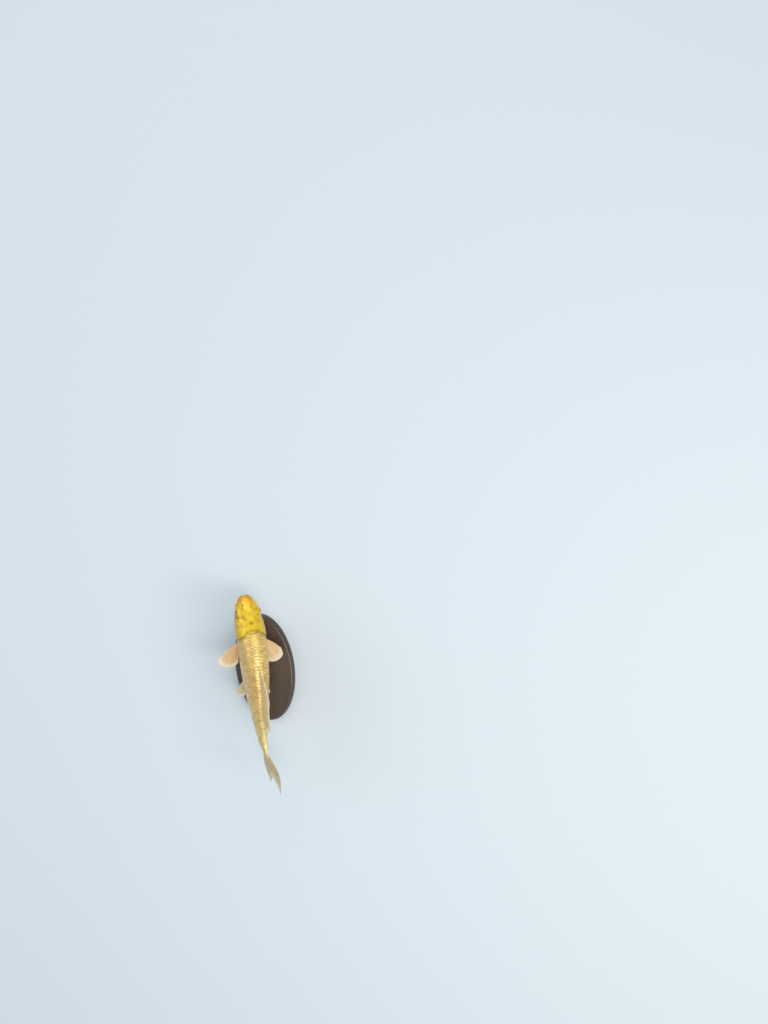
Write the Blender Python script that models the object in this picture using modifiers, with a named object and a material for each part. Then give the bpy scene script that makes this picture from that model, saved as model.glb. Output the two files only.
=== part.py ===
"""A young golden koi carp, life size, held over a plain display stand. Metres, +Z up.

The fish is first modelled straight: its snout at station 0, its tail along +Y, its left flank
towards +X. Every piece is then bent along one swim axis, and the whole fish is banked towards its
right and raised on two rods. The origin is the centre of the stand base's underside.
"""

import math

import bmesh
import bpy
import numpy as np
from mathutils import Matrix, Vector

# ---- driving dimensions of the fish ----
TOTAL_LENGTH = 0.160
BODY_SHARE = 0.78
HEAD_SHARE = 0.205
MID_TRUNK_SHARE = 0.41
STEM_SHARE = 0.62
BANK = math.radians(20.0)
AXIS_HEIGHT = 0.0490
CENTRE_SHARE = 0.42
PART_GAP = 0.0003

# Body outline, in shares of the total length: station, back, belly, half width.
OUTLINE = (
    (0.000, -0.0125, -0.0125, 0.0000),  # snout tip
    (0.012, 0.0095, -0.0320, 0.0275),  # lips
    (0.035, 0.0245, -0.0420, 0.0430),  # nostrils
    (0.085, 0.0480, -0.0550, 0.0620),  # eyes
    (0.140, 0.0690, -0.0690, 0.0690),  # cheeks
    (0.205, 0.0890, -0.0820, 0.0725),  # nape and gill openings
    (0.290, 0.1060, -0.0940, 0.0725),
    (0.380, 0.1130, -0.1000, 0.0680),  # deepest, at the front of the dorsal fin
    (0.480, 0.1060, -0.0960, 0.0575),
    (0.600, 0.0820, -0.0740, 0.0400),
    (0.700, 0.0560, -0.0500, 0.0250),
    (0.755, 0.0465, -0.0425, 0.0170),  # tail stem
    (0.780, 0.0480, -0.0440, 0.0120),
)
WIDEST_LEVEL = 0.47
CROWN_POWER = 2.45
BACK_POWER = 2.05
BELLY_POWER = 2.30

# Heading of the swim axis towards the fish's right, in degrees, at shares of the length.
SWIM = (
    (0.00, 0.5),
    (0.18, -0.5),
    (0.36, -4.3),
    (0.55, -3.8),
    (0.71, -1.0),
    (0.79, 7.0),
    (0.85, 11.0),
    (0.92, 2.0),
    (1.00, -12.0),
)
AXIS_STEPS = 400

# ---- eyes, gill covers, jaw and barbels ----
EYE_SHARE = 0.087
EYE_LEVEL = 0.0125
EYE_RADIUS = 0.0030
EYE_STANDS_OUT = 0.0010
GILL_STATION = 0.162
GILL_LEVEL = -0.004
GILL_HALF_LENGTH = 0.049
GILL_HALF_HEIGHT = 0.060
GILL_INNER = 0.047
JAW_LENGTH = 0.043
JAW_SLOPE = math.radians(24.0)
JAW_FRONT_LEVEL = -0.0150

# Barbel pairs: name, station, turn round the body in degrees, length, root radius.
BARBELS = (
    ("barbel_front", 0.021, 84.0, 0.0030, 0.00042),
    ("barbel_rear", 0.040, 106.0, 0.0050, 0.00055),
)
BARBEL_TAPER = 0.52

# ---- fins: stations, heights and lengths in shares, angles in degrees, front ray first ----
FIN_ROOT_THICK = 0.0010
FIN_RIM_THICK = 0.0005
ROOT_DEPTH = 0.0016
DORSAL_ROOT = (0.352, 0.612)
DORSAL_HEIGHT = (0.138, 0.080)
DORSAL_SWEEP = (56.0, 50.0)
DORSAL_LEAN = (17.0, 29.0)
ANAL_ROOT = (0.622, 0.672)
ANAL_HEIGHT = (0.092, 0.045)
ANAL_SWEEP = (50.0, 44.0)
TIP_SWEEP = 8.0
TIP_LEAN = 6.0
PECTORAL = {
    "station": 0.236,
    "turn": 121.0,
    "droop": 12.0,
    "length": 0.143,
    "chord": 0.032,
    "rounding": 2.2,
}
PECTORAL_SPREAD = {"left": (26.0, 80.0), "right": (24.0, 84.0)}
PELVIC = {
    "station": 0.425,
    "turn": 146.0,
    "droop": 30.0,
    "length": 0.118,
    "chord": 0.018,
    "rounding": 1.3,
}
PELVIC_SPREAD = {"left": (43.0, 84.0), "right": (47.0, 84.0)}
CAUDAL_UPPER_LOBE = 0.238
CAUDAL_LOWER_LOBE = 0.236
CAUDAL_FORK = 0.146
CAUDAL_TIP_ROUNDING = 0.14
CAUDAL_SPREAD = math.radians(33.0)
CAUDAL_TWIST = math.radians(9.0)

# ---- display stand ----
BASE_LENGTH = 0.092
BASE_WIDTH = 0.050
BASE_THICK = 0.007
BASE_EDGE = 0.0014
ROD_RADIUS = 0.0016
ROD_FOOT_RADIUS = 0.0042
ROD_FOOT_THICK = 0.0013
ROD_COLLAR = 0.0008
ROD_CHAMFER = 0.0004
ROD_OVERRUN = 0.003
ROD_SHARES = {"stand_rod_front": 0.285, "stand_rod_rear": 0.515}

# ---- mesh fineness ----
SIDES = 28
FULL_TURN = 2 * math.pi
SIDE_SIGNS = {"left": 1, "right": -1}

# ---- colours, linear ----
HEAD_GOLD = (0.82, 0.62, 0.05)
BODY_GOLD = (0.70, 0.42, 0.10)
FIN_CREAM = (0.78, 0.58, 0.30)
EYE_BLACK = (0.02, 0.015, 0.01)
BARBEL_GOLD = (0.80, 0.50, 0.10)
STAND_WOOD = (0.045, 0.030, 0.022)
ROD_STEEL = (0.60, 0.60, 0.62)


class SmoothCurve:
    """A monotone cubic curve through a few (position, value) knots."""

    def __init__(self, knots):
        self.at, self.value = np.array(knots, float).T
        rise = np.diff(self.value) / np.diff(self.at)
        inner = np.where(
            rise[:-1] * rise[1:] > 0,
            2 * rise[:-1] * rise[1:] / np.where(rise[:-1] + rise[1:] == 0, 1, rise[:-1] + rise[1:]),
            0.0,
        )
        self.slope = np.concatenate([rise[:1], inner, rise[-1:]])

    def __call__(self, position):
        p = float(np.clip(position, self.at[0], self.at[-1]))
        i = int(np.clip(np.searchsorted(self.at, p) - 1, 0, len(self.at) - 2))
        width = self.at[i + 1] - self.at[i]
        t = (p - self.at[i]) / width
        return float(
            self.value[i] * (1 + 2 * t) * (1 - t) ** 2
            + self.value[i + 1] * t * t * (3 - 2 * t)
            + width * self.slope[i] * t * (1 - t) ** 2
            - width * self.slope[i + 1] * t * t * (1 - t)
        )


# The outline is read over the square root of the station, which rounds the snout.
BACK, BELLY, HALF_WIDTH = (
    SmoothCurve([(math.sqrt(row[0]), row[column]) for row in OUTLINE]) for column in (1, 2, 3)
)
HEADING = SmoothCurve(SWIM)


# ---- the body's shape ----


def section(station):
    """Back level, belly level, half width and back power at a station given as a share."""
    root = math.sqrt(max(station, 0.0))
    crown = min(max((HEAD_SHARE - station) / HEAD_SHARE, 0.0), 1.0)
    power = BACK_POWER + (CROWN_POWER - BACK_POWER) * crown
    return BACK(root), BELLY(root), HALF_WIDTH(root), power


def skin_point(station, angle, swell=0.0):
    """Point of the body's surface: angle 0 on the back, a quarter turn on the left flank.

    swell moves the surface outwards by that many metres.
    """
    back, belly, half, back_power = section(station)
    level = belly + WIDEST_LEVEL * (back - belly)
    side, up = math.sin(angle), math.cos(angle)
    power = back_power if up >= 0 else BELLY_POWER
    reach = (back - level if up >= 0 else level - belly) * TOTAL_LENGTH + swell
    x = (half * TOTAL_LENGTH + swell) * math.copysign(abs(side) ** (2 / power), side)
    z = level * TOTAL_LENGTH + reach * math.copysign(abs(up) ** (2 / power), up)
    return Vector((x, station * TOTAL_LENGTH, z))


def ring(station, swell=0.0):
    """Points round the body at one station."""
    return [skin_point(station, FULL_TURN * i / SIDES, swell) for i in range(SIDES)]


def stations_between(first, last, count):
    """Shares from first to last, closer together towards the snout."""
    low, high = math.sqrt(first), math.sqrt(last)
    return [(low + (high - low) * i / (count - 1)) ** 2 for i in range(count)]


def loft(name, rings, front_pole=None):
    """A closed solid through rings of equal count, with a pole or a flat cap in front."""
    mesh = bpy.data.meshes.new(name)
    bm = bmesh.new()
    rows = [[bm.verts.new(p) for p in points] for points in rings]
    count = len(rows[0])
    for near, far in zip(rows[:-1], rows[1:]):
        for i in range(count):
            j = (i + 1) % count
            bm.faces.new((near[i], near[j], far[j], far[i]))
    if front_pole is None:
        bm.faces.new(rows[0])
    else:
        pole = bm.verts.new(front_pole)
        for i in range(count):
            bm.faces.new((rows[0][i], pole, rows[0][(i + 1) % count]))
    bm.faces.new(rows[-1])
    return finish_mesh(name, mesh, bm)


def finish_mesh(name, mesh, bm):
    """Turns a bmesh into a smooth-shaded object in the scene, its faces pointing out."""
    bmesh.ops.recalc_face_normals(bm, faces=bm.faces)
    bm.to_mesh(mesh)
    bm.free()
    mesh.shade_smooth()
    obj = bpy.data.objects.new(name, mesh)
    PIECES.objects.link(obj)
    return obj


# ---- Boolean cuts ----


def as_helper(obj):
    """Moves an object to the cutters, where it is drawn as wire and left out of the part."""
    for collection in list(obj.users_collection):
        collection.objects.unlink(obj)
    CUTTERS.objects.link(obj)
    obj.display_type = "WIRE"
    obj.hide_render = True
    return obj


def cut(obj, operation, *cutters):
    """Applies one Boolean for each cutter, so that the piece can be bent afterwards."""
    for cutter in cutters:
        modifier = obj.modifiers.new(cutter.name, "BOOLEAN")
        modifier.operation = operation
        modifier.solver = "EXACT"
        modifier.object = cutter
    return made_mesh(obj)


def made_mesh(obj):
    """Replaces an object's data by the mesh that its modifiers, or its curve, give."""
    graph = bpy.context.evaluated_depsgraph_get()
    mesh = bpy.data.meshes.new_from_object(obj.evaluated_get(graph))
    bm = bmesh.new()
    bm.from_mesh(mesh)
    bmesh.ops.transform(bm, matrix=obj.matrix_world, verts=bm.verts)
    bmesh.ops.remove_doubles(bm, verts=bm.verts, dist=1e-6)
    bm.to_mesh(mesh)
    bm.free()
    if obj.type == "MESH":
        obj.modifiers.clear()
        obj.data = mesh
        obj.matrix_world = Matrix.Identity(4)
        return obj
    name, homes = obj.name, list(obj.users_collection)
    bpy.data.objects.remove(obj)
    solid = bpy.data.objects.new(name, mesh)
    for home in homes:
        home.objects.link(solid)
    mesh.shade_smooth()
    return solid


def gill_plug(name, side, margin):
    """Elliptical block over one gill cover, grown by margin; side is 1 on the left."""
    inner = GILL_INNER * TOTAL_LENGTH - margin
    length = TOTAL_LENGTH * 0.05
    bm = bmesh.new()
    bmesh.ops.create_cone(
        bm, cap_ends=True, segments=36, radius1=1.0, radius2=1.0, depth=length
    )
    size = (
        GILL_HALF_HEIGHT * TOTAL_LENGTH + margin,
        GILL_HALF_LENGTH * TOTAL_LENGTH + margin,
        1.0,
    )
    centre = Vector(
        (side * (inner + length / 2), GILL_STATION * TOTAL_LENGTH, GILL_LEVEL * TOTAL_LENGTH)
    )
    place = Matrix.Translation(centre) @ Matrix.Rotation(math.pi / 2, 4, "Y")
    bmesh.ops.transform(bm, matrix=place @ Matrix.Diagonal((*size, 1.0)), verts=bm.verts)
    return as_helper(finish_mesh(name, bpy.data.meshes.new(name), bm))


def jaw_block(name, margin):
    """Sloping block under the mouth line, grown by margin."""
    length = JAW_LENGTH * TOTAL_LENGTH
    bm = bmesh.new()
    bmesh.ops.create_cube(bm, size=1.0)
    size = (TOTAL_LENGTH * 0.2, 2 * length + 2 * margin, 2 * length + 2 * margin)
    front = Vector((0.0, 0.0, JAW_FRONT_LEVEL * TOTAL_LENGTH))
    place = Matrix.Translation(front) @ Matrix.Rotation(-JAW_SLOPE, 4, "X")
    down = Matrix.Translation((0.0, 0.0, -length))
    bmesh.ops.transform(bm, matrix=place @ down @ Matrix.Diagonal((*size, 1.0)), verts=bm.verts)
    return as_helper(finish_mesh(name, bpy.data.meshes.new(name), bm))


def eye_centre(side):
    """Centre of an eyeball, set so that it stands out of the head a little."""
    back, belly, half, power = section(EYE_SHARE)
    level = belly + WIDEST_LEVEL * (back - belly)
    rise = (EYE_LEVEL - level) / (back - level)
    flank = half * TOTAL_LENGTH * (1 - rise**power) ** (1 / power)
    return Vector(
        (
            side * (flank + EYE_STANDS_OUT - EYE_RADIUS),
            EYE_SHARE * TOTAL_LENGTH,
            EYE_LEVEL * TOTAL_LENGTH,
        )
    )


def ball(name, centre, radius):
    """A sphere whose poles point sideways, as an eye's do."""
    bm = bmesh.new()
    bmesh.ops.create_uvsphere(bm, u_segments=20, v_segments=12, radius=radius)
    place = Matrix.Translation(centre) @ Matrix.Rotation(math.pi / 2, 4, "Y")
    bmesh.ops.transform(bm, matrix=place, verts=bm.verts)
    return finish_mesh(name, bpy.data.meshes.new(name), bm)


def body_pieces():
    """Head, jaw, gill covers, eyes, two lengths of trunk and the tail stem."""
    gap = PART_GAP / 2 / TOTAL_LENGTH
    snout = Vector((0.0, 0.0, OUTLINE[0][1] * TOTAL_LENGTH))
    plugs = [gill_plug(f"plug_wide_{s}", n, PART_GAP) for s, n in SIDE_SIGNS.items()]
    sockets = [
        as_helper(ball(f"socket_{s}", eye_centre(n), EYE_RADIUS + PART_GAP))
        for s, n in SIDE_SIGNS.items()
    ]

    def head_rings(last, count):
        return [ring(s) for s in stations_between(0.0007, last, count)]

    pieces = {}
    head = loft("head", head_rings(HEAD_SHARE - gap, 18), snout)
    pieces["head"] = cut(head, "DIFFERENCE", *plugs, *sockets, jaw_block("jaw_wide", PART_GAP))
    jaw = loft("jaw_lower", head_rings(0.1, 14), snout)
    pieces["jaw_lower"] = cut(jaw, "INTERSECT", jaw_block("jaw_close", 0.0))
    for side, number in SIDE_SIGNS.items():
        name = f"gill_cover_{side}"
        rings = [ring(s) for s in stations_between(0.09, 0.24, 10)]
        plug = gill_plug(f"plug_close_{side}", number, 0.0)
        pieces[name] = cut(loft(name, rings), "INTERSECT", plug)
        name = f"eye_{side}"
        pieces[name] = ball(name, eye_centre(number), EYE_RADIUS)
    lengths = (
        ("trunk_front", HEAD_SHARE, MID_TRUNK_SHARE, 9),
        ("trunk_rear", MID_TRUNK_SHARE, STEM_SHARE, 9),
        ("tail_stem", STEM_SHARE, BODY_SHARE, 8),
    )
    for name, first, last, count in lengths:
        rings = [ring(s) for s in stations_between(first + gap, last - gap, count)]
        pieces[name] = loft(name, rings)
    pieces["trunk_front"] = cut(pieces["trunk_front"], "DIFFERENCE", *plugs)
    return pieces


def clearance_body():
    """The whole body grown by the part gap, which trims what grows out of it."""
    rings = [ring(s, PART_GAP) for s in stations_between(0.0004, BODY_SHARE, 44)]
    rings.append([p + Vector((0.0, PART_GAP, 0.0)) for p in ring(BODY_SHARE, PART_GAP)])
    snout = Vector((0.0, -PART_GAP, OUTLINE[0][1] * TOTAL_LENGTH))
    return as_helper(loft("body_clearance", rings, snout))


# ---- fins ----


def blade(name, point, rays, steps):
    """A closed fin blade over point(u, v): u runs across the rays and v along them."""
    grid = np.array(
        [[point(i / (rays - 1), j / (steps - 1)) for j in range(steps)] for i in range(rays)]
    )
    normal = np.cross(np.gradient(grid, axis=0), np.gradient(grid, axis=1))
    normal /= np.linalg.norm(normal, axis=2, keepdims=True)
    thick = np.linspace(FIN_ROOT_THICK, FIN_RIM_THICK, steps)[None, :, None] / 2
    bm = bmesh.new()
    faces = []
    for sign in (1, -1):
        rows = grid + sign * thick * normal
        faces.append([[bm.verts.new(Vector(p)) for p in row] for row in rows])
    upper, lower = faces
    for i in range(rays - 1):
        for j in range(steps - 1):
            bm.faces.new((upper[i][j], upper[i + 1][j], upper[i + 1][j + 1], upper[i][j + 1]))
            bm.faces.new((lower[i][j], lower[i][j + 1], lower[i + 1][j + 1], lower[i + 1][j]))
    rim = [(i, 0) for i in range(rays)]
    rim += [(rays - 1, j) for j in range(1, steps)]
    rim += [(i, steps - 1) for i in range(rays - 2, -1, -1)]
    rim += [(0, j) for j in range(steps - 2, 0, -1)]
    for (i, j), (k, m) in zip(rim, rim[1:] + rim[:1]):
        bm.faces.new((upper[i][j], lower[i][j], lower[k][m], upper[k][m]))
    return finish_mesh(name, bpy.data.meshes.new(name), bm)


def mixed(start, end, share):
    """The value a share of the way from start to end."""
    return start + (end - start) * share


def grown_out(v, reach, ray, inwards):
    """Offset from a fin's root line at v along a ray, which starts a little inside the body."""
    out = v * (reach + ROOT_DEPTH) - ROOT_DEPTH
    return ray * out if out > 0 else inwards * -out


def dorsal_point(u, v):
    """Half-lowered back fin: rays swept back, leaning to the right more and more."""
    station = mixed(*DORSAL_ROOT, u)
    sweep = math.radians(mixed(*DORSAL_SWEEP, u) + TIP_SWEEP * v)
    lean = math.radians(mixed(*DORSAL_LEAN, u) + TIP_LEAN * v)
    length = TOTAL_LENGTH * mixed(*DORSAL_HEIGHT, u**0.75) * min(1.0, 0.74 + 2.0 * u)
    up = math.cos(sweep)
    ray = Vector((-math.sin(lean) * up, math.sin(sweep), math.cos(lean) * up))
    return skin_point(station, 0.0) + grown_out(v, length, ray, Vector((0.0, 0.0, -1.0)))


def anal_point(u, v):
    """Short fin under the stem, swept back."""
    station = mixed(*ANAL_ROOT, u)
    sweep = math.radians(mixed(*ANAL_SWEEP, u) + TIP_SWEEP * v)
    length = TOTAL_LENGTH * mixed(*ANAL_HEIGHT, u**0.8) * min(1.0, 0.80 + 1.2 * u)
    ray = Vector((0.0, math.sin(sweep), -math.cos(sweep)))
    return skin_point(station, math.pi) + grown_out(v, length, ray, Vector((0.0, 0.0, 1.0)))


def paired_fin(side, station, turn, spread, droop, length, chord, rounding):
    """point(u, v) of a pectoral or pelvic fin.

    turn is the root's angle round the body, spread the backward angles of the first and last
    ray from straight out, droop the blade's fall, chord the root's length as a share, and
    rounding how full the fin stays towards its last ray.
    """

    def point(u, v):
        angle = math.radians(turn + 7.0 * u) * side
        root = skin_point(station + chord * u, angle)
        back = math.radians(mixed(*spread, u) + 9.0 * v * (1 - u))
        fall = math.radians(droop + 8.0 * v - 7.0 * math.sin(math.pi * u))
        reach = TOTAL_LENGTH * length * (1 - 0.50 * u**rounding) * min(1.0, 0.88 + 0.9 * u)
        ray = Vector(
            (
                side * math.cos(back) * math.cos(fall),
                math.sin(back),
                -math.cos(back) * math.sin(fall) - 0.10 * math.sin(back),
            )
        )
        inwards = Vector((-side * math.sin(abs(angle)), 0.0, -math.cos(angle)))
        return root + grown_out(v, reach, ray, inwards)

    return point


def caudal_point(u, v):
    """Deeply forked tail fin: u runs from the upper lobe to the lower one."""
    across = 1 - 2 * u
    back, belly, _, _ = section(BODY_SHARE)
    level = mixed(belly, back, 0.5 + 0.44 * across) * TOTAL_LENGTH
    fan = CAUDAL_SPREAD * math.copysign(abs(across) ** 0.85, across)
    fan *= 1 - 0.22 * v
    lobe = CAUDAL_UPPER_LOBE if across > 0 else CAUDAL_LOWER_LOBE
    length = TOTAL_LENGTH * mixed(CAUDAL_FORK, lobe, abs(across) ** 1.5)
    length *= 1 - CAUDAL_TIP_ROUNDING * max(0.0, (abs(across) - 0.8) / 0.2) ** 2
    ray = Vector((0.0, math.cos(fan), math.sin(fan)))
    root = Vector((0.0, BODY_SHARE * TOTAL_LENGTH, level))
    place = root + grown_out(v, length, ray, Vector((0.0, -1.0, 0.0)))
    twist = CAUDAL_TWIST * math.sin(math.pi * v)
    return Matrix.Rotation(-twist, 3, "Y") @ place


def fin_pieces(clearance):
    """Every fin, its root cut to the body's own curve."""
    shapes = {
        "fin_dorsal": (dorsal_point, 14, 6),
        "fin_anal": (anal_point, 7, 6),
        "fin_caudal": (caudal_point, 21, 7),
    }
    for side, sign in SIDE_SIGNS.items():
        pectoral = paired_fin(sign, spread=PECTORAL_SPREAD[side], **PECTORAL)
        shapes[f"fin_pectoral_{side}"] = (pectoral, 12, 6)
        pelvic = paired_fin(sign, spread=PELVIC_SPREAD[side], **PELVIC)
        shapes[f"fin_pelvic_{side}"] = (pelvic, 8, 6)
    return {
        name: cut(blade(name, point, rays, steps), "DIFFERENCE", clearance)
        for name, (point, rays, steps) in shapes.items()
    }


# ---- barbels ----


def barbel(name, side, station, turn, length, radius, clearance):
    """A fleshy feeler that starts on the lip and curves outwards, down and back."""
    root = skin_point(station, math.radians(turn) * side)
    data = bpy.data.curves.new(name, "CURVE")
    data.dimensions = "3D"
    data.bevel_depth = radius
    data.bevel_resolution = 2
    data.use_fill_caps = True
    spline = data.splines.new("POLY")
    count = 7
    spline.points.add(count - 1)
    for i, point in enumerate(spline.points):
        v = i / (count - 1)
        out = v * (length + ROOT_DEPTH) - ROOT_DEPTH
        place = root + Vector(
            (side * out * 0.93, out * (0.10 + 0.35 * v), -out * (0.18 + 0.22 * v))
        )
        point.co = (*place, 1.0)
        point.radius = mixed(1.0, BARBEL_TAPER, v)
    obj = bpy.data.objects.new(name, data)
    PIECES.objects.link(obj)
    return cut(made_mesh(obj), "DIFFERENCE", clearance)


def barbel_pieces(clearance):
    """A short front pair on the upper lip and a longer pair at the mouth's corners."""
    return {
        f"{pair}_{side}": barbel(f"{pair}_{side}", sign, *sizes, clearance)
        for side, sign in SIDE_SIGNS.items()
        for pair, *sizes in BARBELS
    }


# ---- bending along the swim axis ----


def swim_axis():
    """Stations, and the axis's place and heading at each, from snout to tail tip."""
    shares = np.linspace(0.0, 1.02, AXIS_STEPS)
    heading = np.radians([HEADING(s) for s in shares])
    step = np.diff(shares) * TOTAL_LENGTH
    middle = (heading[:-1] + heading[1:]) / 2
    x = np.concatenate([[0.0], np.cumsum(-np.sin(middle) * step)])
    y = np.concatenate([[0.0], np.cumsum(np.cos(middle) * step)])
    stations = shares * TOTAL_LENGTH
    centre = CENTRE_SHARE * TOTAL_LENGTH
    x -= np.interp(centre, stations, x)
    y -= np.interp(centre, stations, y)
    return stations, x, y, heading


def bend(obj, axis):
    """Bends a straight piece's vertices along the swim axis."""
    stations, x, y, heading = axis
    for vertex in obj.data.vertices:
        side, station, level = vertex.co
        turn = float(np.interp(station, stations, heading))
        behind = station - float(np.clip(station, stations[0], stations[-1]))
        vertex.co = (
            float(np.interp(station, stations, x)) + side * math.cos(turn) - behind * math.sin(turn),
            float(np.interp(station, stations, y)) + side * math.sin(turn) + behind * math.cos(turn),
            level,
        )
    obj.data.update()


# ---- display stand ----


def stand_base():
    """Flat oval base with eased edges, its underside at z = 0."""
    bm = bmesh.new()
    bmesh.ops.create_cone(
        bm, cap_ends=True, segments=64, radius1=0.5, radius2=0.5, depth=BASE_THICK
    )
    size = Matrix.Diagonal((BASE_WIDTH, BASE_LENGTH, 1.0, 1.0))
    raised = Matrix.Translation((0.0, 0.0, BASE_THICK / 2))
    bmesh.ops.transform(bm, matrix=raised @ size, verts=bm.verts)
    base = finish_mesh("stand_base", bpy.data.meshes.new("stand_base"), bm)
    edge = base.modifiers.new("eased_edge", "BEVEL")
    edge.width = BASE_EDGE
    edge.segments = 2
    edge.limit_method = "ANGLE"
    edge.angle_limit = math.radians(40.0)
    base.data.set_sharp_from_angle(angle=math.radians(40.0))
    return base


def rod(name, x, y, top, clearance):
    """Turned rod with a foot flange, its top cut to the belly's curve."""
    bottom = BASE_THICK + PART_GAP
    profile = (
        (0.0, top),
        (ROD_RADIUS, top),
        (ROD_RADIUS, bottom + ROD_FOOT_THICK + ROD_COLLAR),
        (ROD_RADIUS + ROD_COLLAR, bottom + ROD_FOOT_THICK),
        (ROD_FOOT_RADIUS - ROD_CHAMFER, bottom + ROD_FOOT_THICK),
        (ROD_FOOT_RADIUS, bottom + ROD_FOOT_THICK - ROD_CHAMFER),
        (ROD_FOOT_RADIUS, bottom),
        (0.0, bottom),
    )
    mesh = bpy.data.meshes.new(name)
    edges = [(i, i + 1) for i in range(len(profile) - 1)]
    mesh.from_pydata([(r, 0.0, z) for r, z in profile], edges, [])
    obj = bpy.data.objects.new(name, mesh)
    obj.location = (x, y, 0.0)
    PIECES.objects.link(obj)
    turned = obj.modifiers.new("turned", "SCREW")
    turned.steps = turned.render_steps = 20
    turned.use_merge_vertices = True
    turned.merge_threshold = 0.00001
    fitted = obj.modifiers.new("fitted", "BOOLEAN")
    fitted.operation = "DIFFERENCE"
    fitted.solver = "EXACT"
    fitted.object = clearance
    return obj


# ---- materials and assembly ----


def material(name, colour, roughness, metallic):
    """A Principled material of one plain colour."""
    made = bpy.data.materials.new(name)
    made.use_nodes = True
    shader = made.node_tree.nodes["Principled BSDF"]
    shader.inputs["Base Color"].default_value = (*colour, 1.0)
    shader.inputs["Roughness"].default_value = roughness
    shader.inputs["Metallic"].default_value = metallic
    return made


FINISHES = {
    "head": (HEAD_GOLD, 0.35, 0.3),
    "jaw": (HEAD_GOLD, 0.35, 0.3),
    "gill": (HEAD_GOLD, 0.35, 0.3),
    "trunk": (BODY_GOLD, 0.35, 0.5),
    "tail": (BODY_GOLD, 0.35, 0.5),
    "fin": (FIN_CREAM, 0.45, 0.0),
    "eye": (EYE_BLACK, 0.10, 0.0),
    "barbel": (BARBEL_GOLD, 0.45, 0.0),
    "stand_base": (STAND_WOOD, 0.40, 0.0),
    "stand_rod": (ROD_STEEL, 0.30, 1.0),
}


def dress(obj):
    """Gives an object its own material, from the finish its name starts with."""
    finish = next(f for key, f in FINISHES.items() if obj.name.startswith(key))
    obj.data.materials.clear()
    obj.data.materials.append(material(f"{obj.name}_finish", *finish))


def collection(name):
    """A new collection in the scene."""
    made = bpy.data.collections.new(name)
    bpy.context.scene.collection.children.link(made)
    return made


for old in list(bpy.data.objects):
    bpy.data.objects.remove(old)
PIECES = collection("koi_carp_on_stand")
CUTTERS = collection("cutters")

grown_body = clearance_body()
fish = body_pieces()
fish.update(fin_pieces(grown_body))
fish.update(barbel_pieces(grown_body))

swimming = bpy.data.objects.new("swimming_pose", None)
PIECES.objects.link(swimming)
swimming.location = (0.0, 0.0, AXIS_HEIGHT)
swimming.rotation_euler = (0.0, -BANK, 0.0)

path = swim_axis()
for piece in (*fish.values(), grown_body):
    bend(piece, path)
    piece.parent = swimming
bpy.context.view_layer.update()

stand_base()
for rod_name, share in ROD_SHARES.items():
    belly_level = section(share)[1] * TOTAL_LENGTH
    station_x = float(np.interp(share * TOTAL_LENGTH, path[0], path[1]))
    station_y = float(np.interp(share * TOTAL_LENGTH, path[0], path[2]))
    belly_place = swimming.matrix_world @ Vector((station_x, station_y, belly_level))
    rod(rod_name, belly_place.x, belly_place.y, belly_place.z + ROD_OVERRUN, grown_body)

for piece in PIECES.objects:
    if piece.type == "MESH":
        dress(piece)
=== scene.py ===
"""Looks of a young golden koi carp held over its display stand, in metres.

The fish is shaped straight first: snout at station 0, tail along +Y, left flank towards +X, with
stations and levels as shares of its total length. Every point is then bent along one swim axis,
banked and raised, as the solids of the frame are.
"""

from __future__ import annotations

import logging
import math
from collections.abc import Sequence
from dataclasses import dataclass
from enum import Enum
from functools import cached_property

import bmesh
import bpy
import numpy as np
from mathutils import Matrix, Vector


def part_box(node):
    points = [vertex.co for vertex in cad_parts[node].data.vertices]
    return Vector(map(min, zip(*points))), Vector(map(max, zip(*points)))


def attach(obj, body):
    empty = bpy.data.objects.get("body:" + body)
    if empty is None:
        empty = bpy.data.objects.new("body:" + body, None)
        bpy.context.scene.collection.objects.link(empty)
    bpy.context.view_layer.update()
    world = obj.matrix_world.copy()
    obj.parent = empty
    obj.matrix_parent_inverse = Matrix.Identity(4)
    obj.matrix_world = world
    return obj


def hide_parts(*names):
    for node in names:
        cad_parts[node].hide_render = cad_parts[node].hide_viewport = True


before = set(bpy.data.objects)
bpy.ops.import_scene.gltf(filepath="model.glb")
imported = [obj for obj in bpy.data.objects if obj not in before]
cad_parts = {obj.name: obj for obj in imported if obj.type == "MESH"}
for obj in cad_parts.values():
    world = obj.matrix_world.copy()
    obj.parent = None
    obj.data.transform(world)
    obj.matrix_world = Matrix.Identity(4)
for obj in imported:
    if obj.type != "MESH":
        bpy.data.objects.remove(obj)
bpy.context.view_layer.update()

LOG = logging.getLogger("koi")
Array = np.ndarray
Material = bpy.types.Material
Mesh = bpy.types.Mesh
Piece = bpy.types.Object
Socket = bpy.types.NodeSocket
# What a node's inputs take: values, hex colours or sockets, in order, or by name or index.
Inputs = Sequence[object] | dict[int | str, object]
Pairs = tuple[tuple[float, float], ...]
MM = 0.001
BODY = "root"


class Side(Enum):
    """A side of the fish, its value the sign of x in the straight fish."""

    LEFT = 1
    RIGHT = -1

    @property
    def word(self) -> str:
        """The side's name as it stands in node names."""
        return self.name.lower()


# ---- Curves and small numeric helpers ----


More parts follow.
